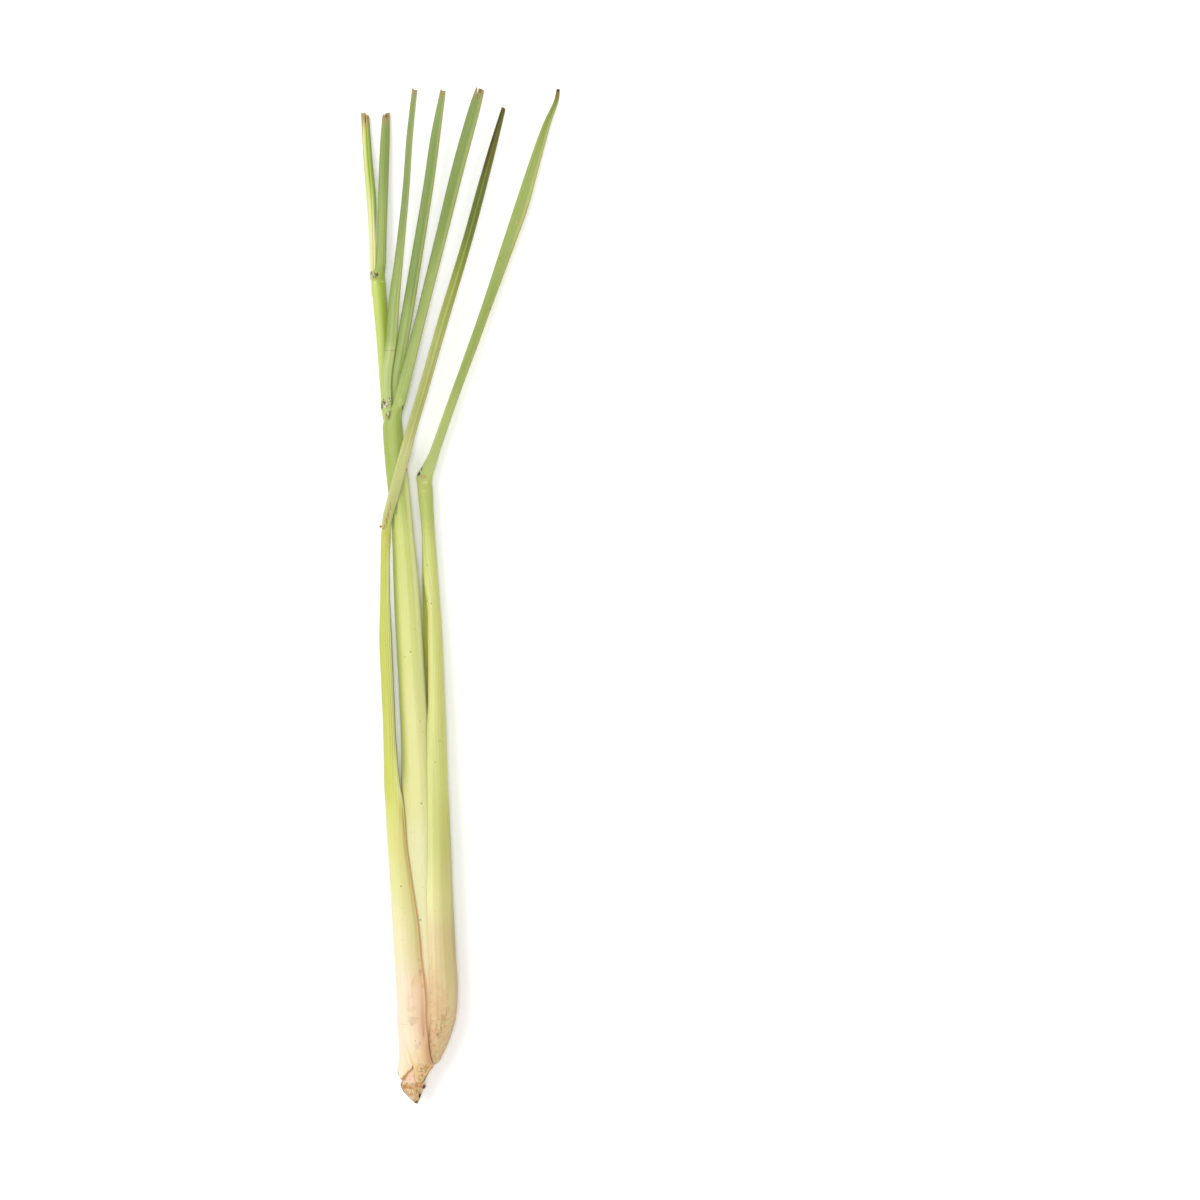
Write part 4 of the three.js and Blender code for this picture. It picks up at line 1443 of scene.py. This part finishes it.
# %% The outer leaf's finish
def lay_outer_bulb(finish, streaks):
    """The side that turns down to the margin is tan, partly painted shade, mottled and rosy; orange streaks
    rise from the rim.
    """
    patches = finish.grain(150, 3.0)
    # partly painted shade: blush low down and olive tan above, where the side turns down from the light
    shade = finish.mix(finish.fade("along", 40, 66), BLUSH, OLIVE_TAN)
    finish.lay(shade, 0.8, around=(0.27, 0), along=(135, 112))
    finish.lay(BLUSH, 0.5, finish.fade(patches, 0.5, 0.66), around=(0.3, 0.1), along=(60, 44))
    finish.lay(ORANGE, 0.8, finish.fade(streaks, 0.4, 0.58), from_rim=(20, 4), across=(-0.85, -0.2))
    finish.lay(ROSE, 0.6, around=(0.13, 0.04), along=(52, 26))


def lay_outer_blade(finish, streaks):
    """Green ribs and blushing streaks, a tan right and an olive left edge, and a brown dried tip."""
    finish.lay(SOFT_GREEN, 0.55, finish.fade(streaks, 0.52, 0.4), finish.band("along", 232, 330, 12))
    finish.lay(BLUSH, 0.7, finish.fade(streaks, 0.56, 0.72), finish.band("along", 240, 285, 12))
    finish.lay(TAN, 0.6, across=(0.78, 0.95), along=(236, 250))
    finish.lay(OLIVE_TAN, 0.35, across=(-0.78, -0.95), along=(236, 250))
    finish.lay(CUT_BROWN, 0.5, finish.fade(streaks, 0.62, 0.4), along=(360, 374))
    finish.lay(CUT_BROWN, 0.8, across=(-0.2, -0.8), along=(360, 374))
    finish.lay(TAN, 0.5, across=(0.5, 0.9), along=(360, 374))


def lay_outer_margins(finish):
    """Dry edges of the channel beside the stem, and the line on the first margin: tan, rusty, then dark."""
    edges = finish.fade("across", 0.86, 0.97).most(finish.fade("across", -0.93, -0.99) * 0.6)
    finish.lay(GREY_TAN, 0.6, edges, finish.band("along", 122, 226, 6))
    finish.lay(GREY_TAN, 0.5, around=(0.02, 0.006), along=(150, 120))
    finish.lay(RUST, 1, around=(0.02, 0.006), along=(118, 84))
    finish.lay(DARK_RUST, 0.8, around=(0.03, 0), along=(34, 20))
    finish.lay(RUST, 1, from_rim=(1.0, 0.4))


def lay_torn_side(finish):
    """The torn step beside the margin: orange, with grey-brown grain and dark scars at its rim."""
    torn_side = finish.fade("around", 0.27, 0.2) * finish.fade("along", 17, 14.5)
    grain = finish.grain(900, 3.0)
    scars = finish.fade(finish.stored("from_rim") + (grain - 0.5) * 5, 1.7, 0.9)
    finish.lay(ORANGE, 0.5, torn_side)
    finish.lay(GREY_TAN, 0.7, torn_side, finish.fade(grain, 0.46, 0.58))
    finish.lay(BARK, 1, torn_side, scars, around=(0.19, 0.12))


def outer_finish():
    """Cream at the base, tan towards its margin, partly painted shade, yellow-green above, dark moss green
    at the tip.
    """
    finish = skin("outer_leaf_finish", OUTER_COLOURS)
    streaks = veins(finish, 70)
    lay_veins(finish, streaks, YELLOW_GREEN, PALE_STRAW, 0.2)
    lay_outer_bulb(finish, streaks)
    # painted light over the right half of the channel beside the stem, where it catches the light
    finish.lay(PAINTED_EDGE_LIGHT, 0.8, finish.band("along", 125, 212, 12), across=(0.1, 0.8))
    lay_outer_blade(finish, streaks)
    lay_outer_margins(finish)
    lay_torn_side(finish)
    lay_specks(finish)
    lay_spots(finish, OUTER_SPOTS)
    return wax(finish, streaks)


outer_material = outer_finish()

# %% [markdown]
# ## Finish of the blades behind
#
# The two blades behind the front one share a recipe: mid green, with painted shade on the left and painted
# light in a band on the right, a dry right edge and a cut end that has turned tan. The left one also has a
# faint brown joint line across it, which a vein breaks here and there. One function makes both, so they
# can't drift apart.

# %% The middle and left blades' finishes
MIDDLE_COLOURS = [
    (290, BLADE_GREEN),
    (308, BLADE_GREEN),
    (325, DEEP_GREEN),
    (380, DEEP_GREEN),
    (394, GREY_GREEN),
]
LEFT_COLOURS = [(298, BAND_GREEN), (303, LEAF_GREEN), (330, BLADE_GREEN), (350, GREY_GREEN)]
LEFT_JOINT = 296.2
JOINT_HALF_WIDTH = 0.15


def blade_finish(name, stops, end, brown, joint=None):
    """A green blade, in painted shade on its left and painted light along its right, with a tan cut end."""
    finish = skin(name, stops)
    streaks = veins(finish, 18)
    lay_veins(finish, streaks, DEEP_GREEN, BAND_GREEN, 0.4)
    lay_two_sides(finish, DEEP_GREEN, BAND_GREEN, (285, 305))
    if joint:
        uneven = finish.stored("along") + (streaks - 0.5) * 2
        line = finish.band(uneven, joint - JOINT_HALF_WIDTH, joint + JOINT_HALF_WIDTH, 0.25)
        finish.lay(CUT_BROWN, 0.5, line, finish.fade(streaks, 0.56, 0.44))
    lay_cut_end(finish, end - 5, end - 0.5, brown)
    lay_specks(finish, 0.12)
    return wax(finish, streaks)


middle_material = blade_finish("middle_leaf_finish", MIDDLE_COLOURS, MIDDLE_BLADE[-1][0], 0.5)
left_material = blade_finish("left_leaf_finish", LEFT_COLOURS, LEFT_BLADE[-1][0], 0.8, LEFT_JOINT)

# %% [markdown]
# ## Finishes of the heart
#
# The youngest growth is the brightest. The heart stem is yellow where the light strikes its left side and
# bruised at its collar. The rolled leaf is pale cream on its outside and shows its green inner side on the
# right, more so towards the cut.

# %% The heart stem's and the heart leaf's finishes
HEART_COLOURS = [(323, BRIGHT_GREEN), (329, BLADE_GREEN), (345, BLADE_GREEN), (375, DEEP_GREEN)]
HEART_WANDER = 2.0  # its collar is short, so the colours keep to their places
HEART_SPOTS = [
    ((-29.4, 389.2, 3), (0.7, 0.9, 9), CUT_BROWN, 0.8),
    ((-30.9, 388.6, 3), (0.3, 1.6, 9), CUT_BROWN, 0.7),
    ((-28.0, 388.0, 3), (0.3, 2.4, 9), TAN, 0.7),
    ((-33.0, 326.0, 7), (0.8, 0.9, 9), BRUISE, 0.9),
    ((-32.6, 326.6, 7), (0.4, 0.6, 9), BARK, 0.7),
    ((-32.2, 324.6, 7), (1.2, 0.5, 9), TAN, 0.6),
    ((-31.0, 325.0, 7), (0.9, 0.25, 9), CUT_BROWN, 0.5),
    ((-30.6, 323.8, 7), (0.9, 0.3, 9), PALE_STRAW, 0.6),
    ((-33.6, 323.2, 7), (0.7, 0.5, 9), PAPER_WHITE, 0.6),
]
QUILL_SPOTS = [
    ((-37.5, 388.0, 3), (0.3, 2.0, 9), CUT_BROWN, 0.9),
    ((-38.7, 384.5, 3), (0.4, 3.5, 9), TAN, 0.7),
    ((-36.9, 385.0, 3), (0.3, 2.6, 9), TAN, 0.6),
]


def heart_finish():
    """Bright yellow-green, painted pale on the left where the light strikes and darker on the right, with a
    green blade.
    """
    finish = skin("heart_stem_finish", HEART_COLOURS, HEART_WANDER)
    streaks = veins(finish, 30)
    # painted light: pale yellow on the left, where the light strikes it, and a softer green painted over the
    # shade on the right
    finish.lay(HEART_YELLOW, 1, across=(-0.1, -0.8), along=(328, 322))
    finish.lay(SOFT_GREEN, 0.6, across=(0.4, 0.85), along=(328, 322))
    lay_veins(finish, streaks, SOFT_GREEN, BAND_GREEN, 0.25)
    lay_two_sides(finish, BLADE_GREEN, BLADE_GREEN, (330, 340))
    finish.lay(OLIVE_SHADE, 0.4, across=(-0.78, -0.92), along=(330, 340))
    lay_cut_end(finish, 384, 390)
    lay_spots(finish, HEART_SPOTS)
    return wax(finish, streaks, 0.36)


def quill_finish():
    """Cream that turns yellow upwards, green on the right; high up, cream, tan and olive bands."""
    finish = skin("heart_leaf_finish", [(340, QUILL_CREAM), (372, HEART_YELLOW)])
    streaks = veins(finish, 24)
    lay_veins(finish, streaks, HEART_YELLOW, QUILL_CREAM, 0.4)
    finish.lay(BRIGHT_GREEN, 1, across=(-0.5, 0.1), along=(345, 370))
    finish.lay(BLADE_GREEN, 1, across=(0.2, 0.6), along=(336, 352))
    finish.lay(QUILL_CREAM, 0.7, across=(-0.3, -0.6), along=(362, 374))
    finish.lay(TAN, 0.7, across=(-0.7, -0.95), along=(362, 374))
    finish.lay(OLIVE_SHADE, 0.6, across=(0.6, 0.85), along=(362, 374))
    lay_cut_end(finish, 383, 389.5)
    lay_spots(finish, QUILL_SPOTS)
    return wax(finish, streaks)


heart_material = heart_finish()
quill_material = quill_finish()

# %% [markdown]
# ## Finishes of the scraps and the root
#
# A ligule is dry membrane, so it has no waxy gloss: noise at two scales stains it. The root is wood cut
# across, so its colour follows lengthwise fibres, and the pink tissue of the leaves shows above it.

# %% The scraps' and the root's finishes
AMBER = srgb(188, 104, 40)
FIBRE_STRETCH = (1.0, 0.35, 1.0)  # the noise is squeezed along the root, so its cells are long
ROOT_SPOTS = [
    ((-14.1, 6.6, 8), (1.0, 0.9, 9), BARK, 0.95),
    ((-15.7, 3.0, 8), (0.8, 1.2, 9), BARK, 0.95),
    ((-17.2, 4.9, 8), (1.5, 0.3, 9), TAN, 0.8),
    ((-18.9, 2.4, 8), (1.2, 0.7, 9), PITH, 0.8),
    ((-17.1, 0.8, 8), (0.7, 0.7, 9), CUT_BROWN, 0.9),
    ((-20.8, 6.4, 8), (1.2, 0.5, 9), RUST, 0.7),
    ((-18.6, 7.6, 8), (0.9, 0.5, 9), OLIVE_TAN, 0.7),
    ((-16.8, 9.6, 8), (0.5, 1.4, 9), OLIVE_TAN, 0.6),
]


def paper_finish():
    """Dry membrane, still green in places, with ochre stains and brown-purple bruises."""
    finish = Finish("paper_finish", SOFT_GREEN)
    coarse, fine = (finish.grain(scale, 3.0) for scale in (500, 1100))
    finish.lay(PAPER_WHITE, 1, finish.fade(coarse, 0.46, 0.62))
    finish.lay(RUST, 0.9, finish.fade(coarse, 0.5, 0.4), finish.fade(fine, 0.5, 0.4))
    finish.lay(BRUISE, 0.9, finish.fade(fine, 0.5, 0.57))
    return finish.finish(0.7, coarse, 0.1)


def root_finish():
    """Pinkish tissue under the leaves, a brown scar ring, then dry wood with pale pith at its tip."""
    finish = Finish("root_finish", WOOD)
    stretched = {"Vector": finish.position(), "Scale": FIBRE_STRETCH}
    fibres = finish.noise(finish.node("ShaderNodeMapping", {}, stretched), 1400, 4.0)
    patches = finish.grain(420)
    uneven = finish.stored("along") + (patches - 0.5) * 2.5
    finish.lay(PITH, 1, finish.fade(fibres, 0.4, 0.6))
    finish.lay(TAN, 0.7, finish.fade(fibres, 0.44, 0.34))
    finish.lay(PINK, 1, finish.fade(uneven, 7.6, 8.8))
    finish.lay(RUST, 0.6, finish.band(uneven, 6.2, 7.2, 0.5))
    # creases, cracks, the shaded left side and the charred tip
    finish.lay(CUT_BROWN, 0.6, finish.fade(abs(patches - 0.5), 0.035, 0.005), along=(12, 7))
    finish.lay(DARK_RUST, 0.8, finish.fade(fibres, 0.38, 0.3), along=(9, 7))
    finish.lay(CUT_BROWN, 0.6, across=(-0.85, -1.0))
    finish.lay(DARK_RUST, 0.7, finish.fade(uneven, 1.2, 0.2))
    lay_spots(finish, ROOT_SPOTS)
    return finish.finish(0.8, fibres, 0.12)


paper_material = paper_finish()
sap_material = Finish("sap_finish", AMBER).finish(0.35)
root_material = root_finish()

# %% [markdown]
# ## Putting the finishes on
#
# Each skin takes the place of the packed solid that it follows, and rides on the one body that the stalk
# is. The scraps stand for no solid, so they only ride.

# %% Put the finishes on
DRESSING = [
    (stub, "root_stub", "woody_root", root_material),
    (outer_leaf, "outer_leaf", "outer_leaf", outer_material),
    (second_leaf, "second_leaf", "second_leaf", second_material),
    (stem, "main_stem", "stem", stem_material),
    (middle_leaf, "middle_leaf", "blade", middle_material),
    (left_leaf, "left_leaf", "blade", left_material),
    (heart_stem, "heart_stem", "heart_stem", heart_material),
    (heart_leaf, "heart_leaf", "pale_leaf", quill_material),
]
SCRAPS = [(ligule_piece, "stem", paper_material) for ligule_piece in LIGULES]
SCRAPS.append((sap, "outer_leaf", sap_material))
for piece, node, slot, material in DRESSING:
    piece.data.materials.append(material)
    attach(piece, "root")
    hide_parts(node)
for piece, slot, material in SCRAPS:
    piece.data.materials.append(material)
    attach(piece, "root")
print(len(DRESSING), "skins stand for the packed solids, with", len(SCRAPS), "scraps beside them")

# %% [markdown]
# ## The table
#
# The stalk lies on a plain pale table. It is one large face, big enough that its edge is never seen. A
# curved backdrop would hide an edge too, but the view from above never reaches one.

# %% The table
TABLE_SIZE = 6.0  # metres
TABLE_DROP = 0.0002  # just below the lowest leaf, so that the faces don't fight
TABLE_COLOUR = (0.93, 0.93, 0.925)

table_mesh = bpy.data.meshes.new("table")
sides = [(-1, -1), (1, -1), (1, 1), (-1, 1)]
table_corners = [(x * TABLE_SIZE / 2, y * TABLE_SIZE / 2, -TABLE_DROP) for x, y in sides]
table_mesh.from_pydata(table_corners, [], [(0, 1, 2, 3)])
table = bpy.data.objects.new("table", table_mesh)
bpy.context.scene.collection.objects.link(table)
table_mesh.materials.append(Finish("table_finish", TABLE_COLOUR).finish(0.7, Specular_IOR_Level=0.2))
print("the table is", TABLE_SIZE, "m wide")

# %% [markdown]
# ## The light
#
# The sky is even. One soft light hangs straight above the stalk and a broader one stands to the upper left,
# so the shadows are short and soft, and lie on the right. Two lamps of the far kind are enough, because
# rays that are parallel light a long stalk evenly from end to end.

# %% The light
SKY = 0.7
KEY = 1.35
KEY_ANGLE = 36  # degrees across: a broad source with soft shadows
KEY_TURN = (-12, -34, 0)  # degrees from straight above
OVERHEAD = 1.15
OVERHEAD_ANGLE = 14

world = bpy.data.worlds.new("studio")
bpy.context.scene.world = world
world.use_nodes = True
background = world.node_tree.nodes["Background"]
background.inputs["Color"].default_value = (1, 1, 1, 1)
background.inputs["Strength"].default_value = SKY


def far_light(name, strength, angle, turn):
    """A lamp so far off that its rays are parallel, `angle` degrees across, turned from straight above."""
    light = bpy.data.lights.new(name, "SUN")
    light.energy = strength
    light.angle = math.radians(angle)
    lamp = bpy.data.objects.new(name, light)
    lamp.rotation_euler = tuple(math.radians(degrees) for degrees in turn)
    bpy.context.scene.collection.objects.link(lamp)


far_light("key_light", KEY, KEY_ANGLE, KEY_TURN)
far_light("overhead_light", OVERHEAD, OVERHEAD_ANGLE, (0, 0, 0))
bpy.context.scene.view_settings.view_transform = "Standard"
print("sky", SKY, "key", KEY, "and overhead", OVERHEAD)

# %% [markdown]
# ## The camera
#
# The camera looks straight down from far away with a long lens, which keeps the long stalk free of
# perspective. A parallel camera would show no height at all, and this one still shows a little. The stalk
# stands left of the middle of the view.

# %% The camera
VIEW_WIDTH = 0.4724  # metres across the view at the stalk's middle height
VIEW_MIDDLE = (0.05514, -0.0018)  # metres from the stalk's origin
STALK_MIDDLE_HEIGHT = 0.009
CAMERA_HEIGHT = 2.4
SENSOR = 36  # millimetres

camera_data = bpy.data.cameras.new("camera")
camera_data.sensor_width = SENSOR
camera_data.lens = SENSOR * (CAMERA_HEIGHT - STALK_MIDDLE_HEIGHT) / VIEW_WIDTH
camera = bpy.data.objects.new("camera", camera_data)
camera.location = (*VIEW_MIDDLE, CAMERA_HEIGHT)
bpy.context.scene.collection.objects.link(camera)
bpy.context.scene.camera = camera
print("lens", round(camera_data.lens), "mm")

# %% [markdown]
# ## The size
# No skin reaches further left or right than the packed solids, or below the table. The skins may not
# make the stalk larger than the packed model.
